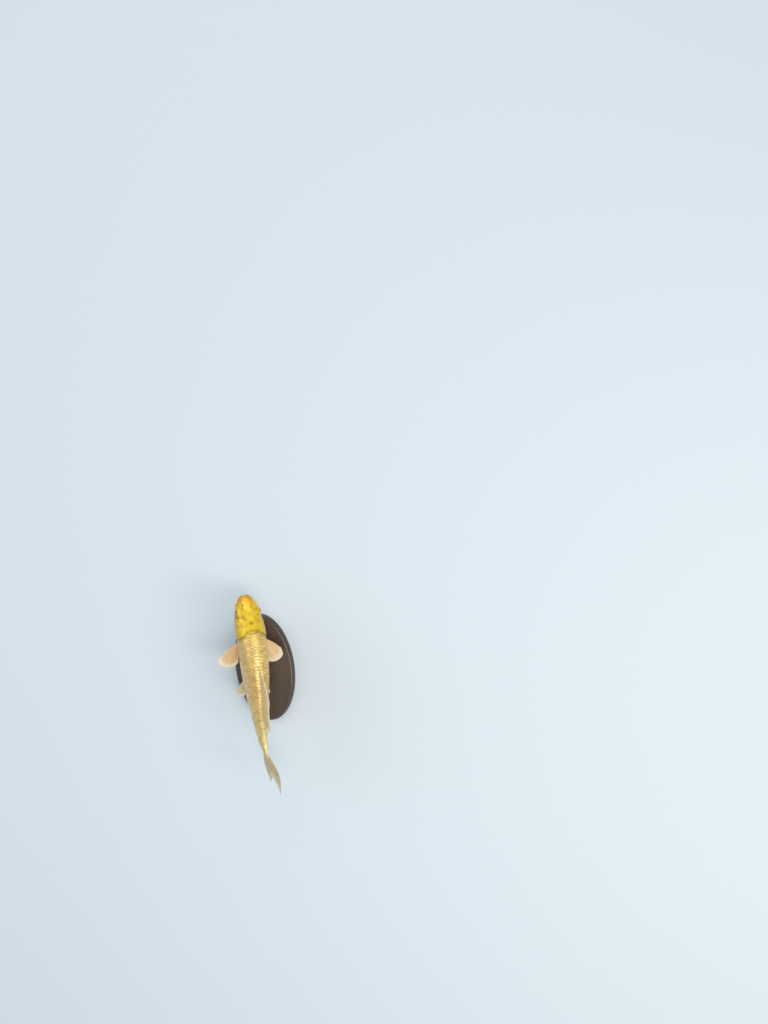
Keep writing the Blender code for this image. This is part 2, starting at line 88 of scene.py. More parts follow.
class MonotoneCurve:
    """A monotone cubic through a few (position, value) knots, read for whole arrays."""

    def __init__(self, knots: Pairs) -> None:
        """Works out the slope at each knot.

        Args:
            knots: (position, value) pairs in rising order of position.
        """
        self.at, self.value = np.array(knots, float).T
        rise = np.diff(self.value) / np.diff(self.at)
        total = rise[:-1] + rise[1:]
        product = rise[:-1] * rise[1:]
        inner = np.where(product > 0, 2 * product / np.where(total == 0, 1.0, total), 0.0)
        self.slope = np.concatenate([rise[:1], inner, rise[-1:]])

    def __call__(self, position: Array) -> Array:
        """Reads the curve.

        Args:
            position: places to read, held to the knots' range.

        Returns:
            The curve's values, in the shape of position.
        """
        p = np.clip(position, self.at[0], self.at[-1])
        i = np.clip(np.searchsorted(self.at, p) - 1, 0, len(self.at) - 2)
        width = self.at[i + 1] - self.at[i]
        t = (p - self.at[i]) / width
        start = self.value[i] * (1 + 2 * t) * (1 - t) ** 2 + width * self.slope[i] * t * (1 - t) ** 2
        end = self.value[i + 1] * t * t * (3 - 2 * t) - width * self.slope[i + 1] * t * t * (1 - t)
        return start + end


def ease(x: Array, low: float, high: float) -> Array:
    """Smooth step from 0 at low to 1 at high."""
    t = np.clip((x - low) / (high - low), 0.0, 1.0)
    return t * t * (3 - 2 * t)


def hump(x: Array, width: float, power: float = 2.0) -> Array:
    """Bell of height 1 at 0 that falls to 0.37 at width; a higher power squares its shoulders."""
    return np.exp(-(np.abs(x / width) ** power))


def mixed(start: Array, end: Array, share: Array) -> Array:
    """The value a share of the way from start to end."""
    return start + (end - start) * share


def unit(vectors: Array) -> Array:
    """Vectors of length 1 in the same directions."""
    size = np.linalg.norm(vectors, axis=-1, keepdims=True)
    return vectors / np.maximum(size, 1e-12)


def stacked(x: Array, y: Array, z: Array) -> Array:
    """Three arrays that broadcast together as one array of vectors."""
    return np.stack(np.broadcast_arrays(x, y, z), axis=-1).astype(float)


def circle(sides: int) -> Array:
    """Evenly spaced angles once round, in radians."""
    return np.arange(sides) * (2 * np.pi / sides)


def folded(angle: Array) -> Array:
    """Angles round the body as angles from the back down either side, 0 to pi."""
    turn = np.mod(angle, 2 * np.pi)
    return np.pi - np.abs(np.pi - turn)


# ---- Node trees ----


def linear(hex_colour: str) -> tuple[float, float, float, float]:
    """Linear red, green, blue and an alpha of 1, from the six digits of an sRGB hex colour."""
    channels = [int(hex_colour[i : i + 2], 16) / 255 for i in (1, 3, 5)]
    return (*(c / 12.92 if c <= 0.04045 else ((c + 0.055) / 1.055) ** 2.4 for c in channels), 1.0)


def plug(node: bpy.types.Node, key: int | str, value: object) -> None:
    """Gives one input of a node its link or its value.

    Args:
        node: the node.
        key: the input's name or index.
        value: the socket to link from, an sRGB hex colour or a plain value.
    """
    if isinstance(value, Socket):
        node.id_data.links.new(value, node.inputs[key])
        return
    is_colour = isinstance(value, str) and value.startswith("#")
    node.inputs[key].default_value = linear(value) if is_colour else value


class Wiring:
    """A node tree in the making."""

    def __init__(self, tree: bpy.types.NodeTree) -> None:
        """Takes the tree that the nodes go in."""
        self.tree = tree

    def add(
        self, kind: str, inputs: Inputs = (), out: int | str = 0, stops: Sequence[tuple[float, str]] = (),
        **settings: object,
    ) -> Socket | None:
        """Adds a node with its settings, values and links.

        Args:
            kind: the node's type name, without its ShaderNode where it starts so.
            inputs: what its inputs take, in order, or by name or index.
            out: which of its outputs to return.
            stops: for a colour ramp, its (place, sRGB hex) pairs.
            **settings: properties of the node itself.

        Returns:
            The chosen output socket, or None where the node has no outputs.
        """
        made = self.tree.nodes.new(kind if "Node" in kind else f"ShaderNode{kind}")
        for name, value in settings.items():
            setattr(made, name, value)
        for key, value in inputs.items() if isinstance(inputs, dict) else enumerate(inputs):
            plug(made, key, value)
        for i, (place, colour) in enumerate(stops):
            elements = made.color_ramp.elements
            element = elements[i] if i < 2 else elements.new(place)
            element.position = place
            element.color = linear(colour)
        return made.outputs[out] if len(made.outputs) else None


class Paint(Wiring):
    """A finish in the making: a material of one Principled shader and the nodes that feed it."""

    def __init__(self, name: str, **values: object) -> None:
        """Starts a material.

        Args:
            name: the finish's name.
            **values: what is the same all over, as for feed.
        """
        self.material = bpy.data.materials.new(name)
        self.material.use_nodes = True
        super().__init__(self.material.node_tree)
        self.feed(**values)

    def feed(self, **values: object) -> Material:
        """Gives the shader's inputs their links or their values.

        Args:
            **values: one for each input, its name written with underscores.

        Returns:
            The material.
        """
        for key, value in values.items():
            plug(self.tree.nodes["Principled BSDF"], key.replace("_", " "), value)
        return self.material


class NodeKit(Wiring):
    """A Geometry Nodes tree built input by input, then run once and turned to a plain mesh."""

    def __init__(self, name: str) -> None:
        """Starts a tree that takes and gives one geometry.

        Args:
            name: the tree's name.
        """
        super().__init__(bpy.data.node_groups.new(name, "GeometryNodeTree"))
        for way in ("INPUT", "OUTPUT"):
            self.tree.interface.new_socket("Geometry", in_out=way, socket_type="NodeSocketGeometry")
        self.source = self.tree.nodes.new("NodeGroupInput")
        self.values: dict[str, object] = {}

    def input(self, name: str, kind: str, value: object) -> Socket:
        """Adds a named input.

        Args:
            name: the input's name.
            kind: the socket's type, such as Float or Object.
            value: what the modifier sets it to.

        Returns:
            The socket to link from inside the tree.
        """
        made = self.tree.interface.new_socket(name, in_out="INPUT", socket_type=f"NodeSocket{kind}")
        self.values[made.identifier] = value
        return self.source.outputs[name]

    def joined(self, parts: Sequence[Socket]) -> Socket:
        """Joins geometries and realizes their instances.

        Args:
            parts: their sockets.

        Returns:
            The joined geometry's socket.
        """
        join = self.add("GeometryNodeJoinGeometry")
        for part in parts:
            plug(join.node, 0, part)
        return self.add("GeometryNodeRealizeInstances", (join,))

    def run(self, base: Piece, result: Socket) -> Mesh:
        """Runs the tree on an object and removes the object.

        Args:
            base: object whose mesh goes in.
            result: socket that holds the finished geometry.

        Returns:
            The realized mesh.
        """
        self.add("NodeGroupOutput", (result,))
        modifier = base.modifiers.new(self.tree.name, "NODES")
        modifier.node_group = self.tree
        for identifier, value in self.values.items():
            modifier[identifier] = value
        graph = bpy.context.evaluated_depsgraph_get()
        done = base.evaluated_get(graph)
        mesh = bpy.data.meshes.new_from_object(done, preserve_all_data_layers=True, depsgraph=graph)
        bpy.data.objects.remove(base)
        return mesh


# Settings that many nodes share: a mix of colours, and a range with soft ends.
COLOURS = {"out": 2, "data_type": "RGBA"}
SOFT = {"interpolation_type": "SMOOTHSTEP"}


# ---- Finishes of the fish ----

# Colour of the pocket that a scale grows from: partly its pigment, partly painted shadow under the plates
# over it.
POCKET_AND_SHADE = "#96692A"
# Colours from the back down to the belly, on the scales and on the head's bare skin.
# The trunk's colours are paler and more whitish than its gold, partly a painted reflection: a pale veil
# over the body.
TRUNK_STOPS = (
    (0.03, "#F0D074"), (0.12, "#DEB45E"), (0.40, "#DCB870"), (0.64, "#E4CB94"), (0.92, "#F2E6C4"),
)
# On the head the cheeks, from 0.30 to 0.50, are darkened partly as painted shade.
CROWN_STOPS = (
    (0.08, "#E8BE00"), (0.30, "#D0A204"), (0.50, "#C09014"), (0.72, "#DDBB52"), (0.95, "#F3E6BA"),
)
# Olive smudges on the skull's roof: across in half widths to the left, station, size, strength.
SMUDGES = ((0.0, 0.137, 0.013, 0.75), (0.66, 0.140, 0.012, 0.42), (-0.20, 0.062, 0.010, 0.30))
# The skull's half width and the girth, brought to the scale of the length to measure a smudge.
HALF_WIDTH, GIRTH = 0.065, 0.1


def body_markings(paint: Paint) -> Socket:
    """The fish's colours, which its skin and its scales both wear, with some painted highlight and shade.

    body_place holds, at each point, the share of the way from back to belly, the station as a
    share of the length, and the sine of the angle, which is 1 on the left flank. bare is 1 on
    the head's scaleless skin; a third attribute holds painted shade in its folds, pits and pores
    and at the gill opening.

    Args:
        paint: the skin's or the scales' finish.

    Returns:
        The colour's socket.
    """
    add = paint.add
    girth = add("SeparateXYZ", (add("Attribute", out="Vector", attribute_name="body_place"),))
    station, across = girth.node.outputs[1], girth.node.outputs[2]
    bare = add("Attribute", out="Fac", attribute_name="bare")
    where = add("TexCoord", out="Object")
    # Clouds of pigment about 4 mm across, and flecks about 0.6 mm across.
    cloud = add("TexNoise", {"Vector": where, "Scale": 240.0, "Detail": 3.0})
    fleck = add("TexNoise", {"Vector": where, "Scale": 1500.0, "Detail": 2.0})
    wander = add("Math", (cloud, 0.14, -0.07), operation="MULTIPLY_ADD")
    moved = add("Math", (girth, wander))
    trunk = add("ValToRGB", (moved,), stops=TRUNK_STOPS)
    crown = add("ValToRGB", (moved,), stops=CROWN_STOPS)
    colour = add("Mix", {0: bare, 6: trunk, 7: crown}, **COLOURS)
    # The head's yellow runs out over the first scales of the nape.
    nape = add("MapRange", (station, 0.245, 0.185, 0.0, 0.65), **SOFT)
    upper = add("MapRange", (moved, 0.50, 0.30))
    nape = add("Math", (nape, upper), operation="MULTIPLY")
    snout = add("MapRange", (station, 0.060, 0.020, 0.0, 0.75), **SOFT)
    # A painted highlight runs along the ridge of the back, strongest behind the shoulders and
    # widening down the tail stem; the head has none.
    widen = add("MapRange", (station, 0.58, 0.76, 0.0, 0.12))
    ridge = add("Math", (moved, widen), operation="SUBTRACT")
    ridge = add("MapRange", (ridge, 0.125, 0.045, 0.0, 0.95), **SOFT)
    scaled = add("Math", (1.0, bare), operation="SUBTRACT")
    behind = add("MapRange", (station, 0.24, 0.42, 0.10))
    for other in (scaled, behind):
        ridge = add("Math", (ridge, other), operation="MULTIPLY")
    layers = [(nape, "#EECA2C"), (snout, "#DC980E"), (ridge, "#F8E394")]
    level = add("CombineXYZ", (across, station, girth))
    flat = add("VectorMath", (level, (HALF_WIDTH, 1.0, GIRTH)), operation="MULTIPLY")
    for left, along, size, strength in SMUDGES:
        middle = (HALF_WIDTH * left, along, GIRTH * (math.asin(abs(left)) / math.pi))
        gap = add("VectorMath", (flat, middle), out="Value", operation="DISTANCE")
        ragged = add("Math", (fleck, size, gap), operation="MULTIPLY_ADD")
        spot = add("MapRange", (ragged, 1.7 * size, 0.7 * size, 0.0, strength), **SOFT)
        layers.append((spot, "#7A6410"))
    layers.append((add("MapRange", (cloud, 0.42, 0.72, 0.0, 0.30)), "#A8791B"))
    # Olive mottles 2 to 4 mm across lie on the head's upper half, thickest beside the snout.
    mottle = add("TexNoise", {"Vector": where, "Scale": 270.0, "Detail": 5.0})
    mottle = add("MapRange", (mottle, 0.48, 0.64, 0.0, 0.72), **SOFT)
    upper = add("MapRange", (girth, 0.62, 0.40))
    aside = add("MapRange", (girth, 0.06, 0.22, 0.45))
    ahead = add("MapRange", (station, 0.17, 0.10, 0.40))
    for other in (upper, aside, ahead, bare):
        mottle = add("Math", (mottle, other), operation="MULTIPLY")
    layers.append((mottle, "#8A7512"))
    # Painted shade in the head's folds, pits and pores and at the gill opening.
    layers.append((add("Attribute", out="Fac", attribute_name="crease"), "#6E3E0C"))
    for factor, over in layers:
        colour = add("Mix", {0: factor, 6: colour, 7: over}, **COLOURS)
    grain = add("MapRange", (fleck, 0.30, 0.75, 0.88, 1.10))
    return add("Mix", {0: 1.0, 6: colour, 7: grain}, blend_type="MULTIPLY", **COLOURS)


@dataclass(frozen=True)
class WetGoldSkin:
    """Living skin of a metallic koi: guanine plates under clear slime, so it glints like satin."""

    metallic: float = 0.50
    roughness: float = 0.36

    def build(self) -> Material:
        """Makes the material: shared markings, pores and fine wrinkles.

        Returns:
            The material.
        """
        paint = Paint("wet_metallic_gold_skin", Metallic=self.metallic)
        paint.feed(Coat_Weight=0.34, Coat_Roughness=0.18)
        add = paint.add
        # Under the scales the skin is darkened towards the pocket colour, as painted shade under the
        # plates.
        bare = add("Attribute", out="Fac", attribute_name="bare")
        deep = add("MapRange", (bare, 0.0, 1.0, 0.38, 0.0))
        colour = add("Mix", {0: deep, 6: body_markings(paint), 7: POCKET_AND_SHADE}, **COLOURS)
        where = add("TexCoord", out="Object")
        # Pores lie about 0.8 mm apart, wrinkles about 0.5 mm.
        pores = add("TexVoronoi", {"Vector": where, "Scale": 1300.0})
        wrinkle = add("TexNoise", {"Vector": where, "Scale": 2100.0, "Detail": 3.0})
        height = add("Math", (pores, wrinkle))
        bump = add("Bump", {"Height": height, "Strength": 0.22, "Distance": 0.00012})
        cloud = add("TexNoise", {"Vector": where, "Scale": 420.0, "Detail": 2.0})
        wet = add("MapRange", (cloud, 0.3, 0.7, self.roughness - 0.08, self.roughness + 0.10))
        return paint.feed(Base_Color=colour, Normal=bump, Roughness=wet)


# Middle and length of the ellipse that is a scale's rear rim, in scale columns.
RIM_MIDDLE = -0.15
RIM_LENGTH = 1.05


@dataclass(frozen=True)
class GoldScale:
    """Bony scale in metallic skin: pale lustrous rear rim; brown pocket, partly pigment, partly painted
    shadow.
    """

    metallic: float = 0.52
    roughness: float = 0.34

    def build(self) -> Material:
        """Makes the material: shared markings, pale rims, partly painted pocket shadow, and fine radii.

        scale_place holds a scale's own coordinates: across and along its plate, and its height.
        tone is a number from 0 to 1 for each scale.

        Returns:
            The material.
        """
        paint = Paint("metallic_gold_scale", Metallic=self.metallic)
        paint.feed(Coat_Weight=0.38, Coat_Roughness=0.16)
        add = paint.add
        across = add("SeparateXYZ", (add("Attribute", out="Vector", attribute_name="scale_place"),))
        along = across.node.outputs[1]
        tone = add("Attribute", out="Fac", attribute_name="tone")
        # The plate's rear rim is part of an ellipse, and the plates over it end in such rims too:
        # the one ahead a whole column away, its neighbours half a column ahead and a row aside.
        inset, covers = self.rim_gap(paint, across, along, 0.0), []
        aside = add("Math", (across,), operation="ABSOLUTE")
        aside = add("Math", (1.0, aside), operation="SUBTRACT")
        for over, columns in ((across, 1.0), (aside, 0.5)):
            gap = self.rim_gap(paint, over, along, columns)
            covers.append(add("Math", (gap, -1.0), operation="MULTIPLY"))
        shown = add("Math", covers, operation="MINIMUM")
        colour = body_markings(paint)
        # Just behind the rims of the plates over it the scale darkens to the pocket colour, partly the
        # net's pigment and partly painted shadow cast by those rims; its own rear rim is pale.
        rings = ((shown, 0.40, 0.02, 0.50, POCKET_AND_SHADE), (inset, 0.22, 0.06, 0.50, "#F4E6B4"))
        for value, low, high, most, over in rings:
            factor = add("MapRange", (value, low, high, 0.0, most), **SOFT)
            colour = add("Mix", {0: factor, 6: colour, 7: over}, **COLOURS)
        lustre = add("MapRange", (tone, 0.0, 1.0, 0.84, 1.14))
        colour = add("Mix", {0: 1.0, 6: colour, 7: lustre}, blend_type="MULTIPLY", **COLOURS)
        # Radii fan out from the plate's focus, and growth rings follow its rim.
        ahead = add("Math", (along, 1.4))
        turn = add("Math", (across, ahead), operation="ARCTAN2")
        waves = []
        for value, often in ((turn, 70.0), (inset, 60.0)):
            phase = add("Math", (value, often), operation="MULTIPLY")
            waves.append(add("Math", (phase,), operation="SINE"))
        height = add("Math", (waves[1], 0.35, waves[0]), operation="MULTIPLY_ADD")
        bump = add("Bump", {"Height": height, "Strength": 0.25, "Distance": 0.00004})
        wet = add("MapRange", (tone, 0.0, 1.0, self.roughness + 0.07, self.roughness - 0.07))
        return paint.feed(Base_Color=colour, Normal=bump, Roughness=wet)

    @staticmethod
    def rim_gap(paint: Paint, across: Socket, along: Socket, columns: float) -> Socket:
        """How far a place lies ahead of the rear rim of a plate some columns ahead.

        Args:
            paint: the scales' finish.
            across: how far it lies aside from that plate's middle, in rows.
            along: how far it lies behind its own plate's middle, in columns.
            columns: how many columns ahead that plate lies.

        Returns:
            The gap in columns, below zero behind the rim.
        """
        square = paint.add("Math", (across, 2.0), operation="POWER")
        rest = paint.add("Math", (1.0, square), operation="SUBTRACT", use_clamp=True)
        arc = paint.add("Math", (rest, 0.5), operation="POWER")
        rim = paint.add("Math", (arc, RIM_LENGTH, RIM_MIDDLE - columns), operation="MULTIPLY_ADD")
        return paint.add("Math", (rim, along), operation="SUBTRACT")


@dataclass(frozen=True)
class FinTint:
    """Colours of one kind of fin from its root to its rim, in sRGB hex."""

    name: str
    root: str
    middle: str
    rim: str


PAIRED_TINT = FinTint("paired", "#DA8830", "#D0A568", "#E0DAC2")
PELVIC_TINT = FinTint("pelvic", "#D49C54", "#CCB48C", "#E0DDCE")
BACK_TINT = FinTint("midline", "#C88F32", "#BC9C5C", "#D8CEAE")
TAIL_TINT = FinTint("tail", "#C08E2A", "#AF934E", "#CEC5A0")
# Distance between the joints of a fin ray.
JOINT_MM = 0.9


def fin_colours(paint: Paint, tint: FinTint) -> Socket:
    """Colour of a fin from its root to its rim.

    fin_place holds, at each point, the share of the way across the rays, the share of the way
    along them, and the distance from the root in mm.

    Args:
        paint: the fin's finish.
        tint: its colours.

    Returns:
        The colour's socket.
    """
    add = paint.add
    place = add("Attribute", out="Vector", attribute_name="fin_place")
    along = add("SeparateXYZ", (place,), out=1)
    where = add("TexCoord", out="Object")
    noise = add("TexNoise", {"Vector": where, "Scale": 600.0, "Detail": 3.0})
    wander = add("Math", (noise, 0.14, -0.07), operation="MULTIPLY_ADD")
    moved = add("Math", (along, wander))
    stops = ((0.04, tint.root), (0.46, tint.middle), (0.72, tint.middle), (0.97, tint.rim))
    return add("ValToRGB", (moved,), stops=stops)


@dataclass(frozen=True)
class FinMembrane:
    """Fin skin stretched thin between the rays: milky, a little see-through, wet."""

    tint: FinTint

    def build(self) -> Material:
        """Makes the material.

        Returns:
            The material.
        """
        name = f"milky_fin_membrane_{self.tint.name}"
        paint = Paint(name, Roughness=0.34, Coat_Weight=0.3, Coat_Roughness=0.15, Alpha=0.80)
        where = paint.add("TexCoord", out="Object")
        # Folds of the skin about 0.7 mm apart.
        noise = paint.add("TexNoise", {"Vector": where, "Scale": 1400.0, "Detail": 2.0})
        bump = paint.add("Bump", {"Height": noise, "Strength": 0.25, "Distance": 0.00008})
        return paint.feed(Base_Color=fin_colours(paint, self.tint), Normal=bump)


@dataclass(frozen=True)
class FinRay:
    """Jointed bony ray under skin: paler and more solid than the membrane, finely banded."""

    tint: FinTint

    def build(self) -> Material:
        """Makes the material, with a darker band at each joint of the ray.

        Returns:
            The material.
        """
        name = f"jointed_bony_fin_ray_{self.tint.name}"
        paint = Paint(name, Roughness=0.38, Coat_Weight=0.3, Coat_Roughness=0.15)
        add = paint.add
        colour = add("Mix", {0: 0.36, 6: fin_colours(paint, self.tint), 7: "#F8EFD4"}, **COLOURS)
        place = add("Attribute", out="Vector", attribute_name="fin_place")
        reach = add("SeparateXYZ", (place,), out=2)
        phase = add("Math", (reach, 2 * math.pi / JOINT_MM), operation="MULTIPLY")
        wave = add("Math", (phase,), operation="COSINE")
        band = add("MapRange", (wave, 0.55, 0.95, 0.0, 0.38))
        colour = add("Mix", {0: band, 6: colour, 7: "#B98A48"}, **COLOURS)
        return paint.feed(Base_Color=colour)


# Radius of an eyeball, in mm.
EYE_RADIUS = 3.0


@dataclass(frozen=True)
class EyeGlaze:
    """Fish eye under a clear wet cornea: round black pupil, thin bright ring, streaked gold iris."""

    # Share of the eyeball's radius: pupil, bright ring, iris, dark outer ring.
    stops: tuple[tuple[float, str], ...] = (
        (0.425, "#050403"), (0.450, "#F3D572"), (0.500, "#DDAE36"), (0.640, "#B77E1E"),
        (0.760, "#5A3B10"), (0.860, "#1A120A"),
    )

    def build(self) -> Material:
        """Makes the material from eye_place: distance from the eye's axis in mm, and two sides.

        Returns:
            The material.
        """
        paint = Paint("glossy_gold_iris_eye", Roughness=0.22)
        paint.feed(Coat_Weight=1.0, Coat_Roughness=0.02, Coat_IOR=1.38)
        add = paint.add
        distance = add("SeparateXYZ", (add("Attribute", out="Vector", attribute_name="eye_place"),))
        forward, upward = distance.node.outputs[1], distance.node.outputs[2]
        # The fibres run out from the pupil, about 30 round the iris.
        spin = add("Math", (upward, forward), operation="ARCTAN2")
        spread = add("Math", (spin, 5.0), operation="MULTIPLY")
        streak_at = add("CombineXYZ", (spread, distance))
        streak = add("TexNoise", {"Vector": streak_at, "Scale": 2.2, "Detail": 3.0})
        ragged = add("Math", (streak, 0.16, distance), operation="MULTIPLY_ADD")
        share = add("Math", (ragged, EYE_RADIUS), operation="DIVIDE")
        iris = add("ValToRGB", (share,), stops=self.stops)
        fibre = add("MapRange", (streak, 0.3, 0.7, 0.6, 1.25))
        colour = add("Mix", {0: 1.0, 6: iris, 7: fibre}, blend_type="MULTIPLY", **COLOURS)
        return paint.feed(Base_Color=colour)


class FeelerSkin:
    """Soft fleshy barbel: smooth orange-gold skin that pales towards its blunt tip."""

    def build(self) -> Material:
        """Makes the material from feeler_place, the share of the way to the tip.

        Returns:
            The material.
        """
        paint = Paint("soft_barbel_skin", Roughness=0.38, Coat_Weight=0.4, Coat_Roughness=0.2)
        add = paint.add
        along = add("Attribute", out="Fac", attribute_name="feeler_place")
        where = add("TexCoord", out="Object")
        noise = add("TexNoise", {"Vector": where, "Scale": 1800.0, "Detail": 2.0})
        wander = add("Math", (noise, 0.3, -0.15), operation="MULTIPLY_ADD")
        moved = add("Math", (along, wander))
        stops = ((0.0, "#E0A020"), (0.6, "#E6B24A"), (1.0, "#F0D79A"))
        colour = add("ValToRGB", (moved,), stops=stops)
        bump = add("Bump", {"Height": noise, "Strength": 0.2, "Distance": 0.00005})
        return paint.feed(Base_Color=colour, Normal=bump)


# ---- Finishes of the stand and the studio ----


class StainedHardwood:
    """Close-grained hardwood, stained near black and satin lacquered, its grain along the base."""

    def build(self) -> Material:
        """Makes the material: growth bands about 2 mm apart and pores a few tenths of a mm wide.

        Returns:
            The material.
        """
        paint = Paint("dark_stained_hardwood", Coat_Weight=0.35, Coat_Roughness=0.22)
        add = paint.add
        where = add("TexCoord", out="Object")
        along = {"Vector": where, "Scale": (1.0, 0.10, 1.0), "Rotation": (0.05, 0.0, 0.06)}
        grain = add("Mapping", along)
        warp = add("TexNoise", {"Vector": grain, "Scale": 130.0, "Detail": 3.0})
        rings = {"Vector": grain, "Scale": 150.0, "Distortion": 7.0, "Detail": 2.0, "Detail Scale": 1.2}
        rings = add("TexWave", rings, out="Fac")
        pores = add("TexNoise", {"Vector": grain, "Scale": 2600.0, "Detail": 2.0})
        soft = add("Math", (warp, 0.5), operation="MULTIPLY")
        depth = add("Math", (rings, 0.6, soft), operation="MULTIPLY_ADD")
        stops = ((0.15, "#2A1B13"), (0.55, "#362318"), (0.90, "#46301F"))
        colour = add("ValToRGB", (depth,), stops=stops)
        pore = add("MapRange", (pores, 0.56, 0.70, 0.0, 0.75))
        colour = add("Mix", {0: pore, 6: colour, 7: "#120B07"}, **COLOURS)
        bump = add("Bump", {"Height": pore, "Strength": 0.25, "Distance": 0.0001}, invert=True)
        satin = add("MapRange", (pore, 0.0, 1.0, 0.34, 0.55))
        return paint.feed(Base_Color=colour, Normal=bump, Roughness=satin)


class BrushedSteel:
    """Turned stainless steel: fine lathe rings round the rod, soft bright streaks along it."""

    def build(self) -> Material:
        """Makes the material: tool rings 0.15 mm apart, drawn coarser than life so that they show.

        Returns:
            The material.
        """
        paint = Paint("turned_brushed_steel", Metallic=1.0)
        add = paint.add
        where = add("TexCoord", out="Object")
        lathe = add("Mapping", {"Vector": where, "Scale": (60.0, 60.0, 6600.0)})
        rings = add("TexNoise", {"Vector": lathe, "Scale": 1.0, "Detail": 2.0})
        colour = add("ValToRGB", (rings,), stops=((0.3, "#A9ABAE"), (0.7, "#C9CBCD")))
        bump = add("Bump", {"Height": rings, "Strength": 0.2, "Distance": 0.00003})
        rough = add("MapRange", (rings, 0.0, 1.0, 0.24, 0.40))
        return paint.feed(Base_Color=colour, Normal=bump, Roughness=rough)


@dataclass(frozen=True)
class StudioPaper:
    """Matt seamless paper, pale and a little cool, with a faint tooth."""

    colour: str = "#C3CCD3"

    def build(self) -> Material:
        """Makes the material.

        Returns:
            The material.
        """
        paint = Paint("pale_studio_paper", Roughness=0.9)
        where = paint.add("TexCoord", out="Object")
        tooth = paint.add("TexNoise", {"Vector": where, "Scale": 900.0, "Detail": 2.0})
        shade = paint.add("MapRange", (tooth, 0.0, 1.0, 0.97, 1.03))
        layer = {0: 1.0, 6: self.colour, 7: shade}
        return paint.feed(Base_Color=paint.add("Mix", layer, blend_type="MULTIPLY", **COLOURS))


# ---- The fish's form and pose ----

# Root lines of the paired fins: (station, turn from the back in degrees) of each end.
PECTORAL_ROOT = ((0.236, 121.0), (0.268, 128.0))
PELVIC_ROOT = ((0.425, 146.0), (0.443, 153.0))


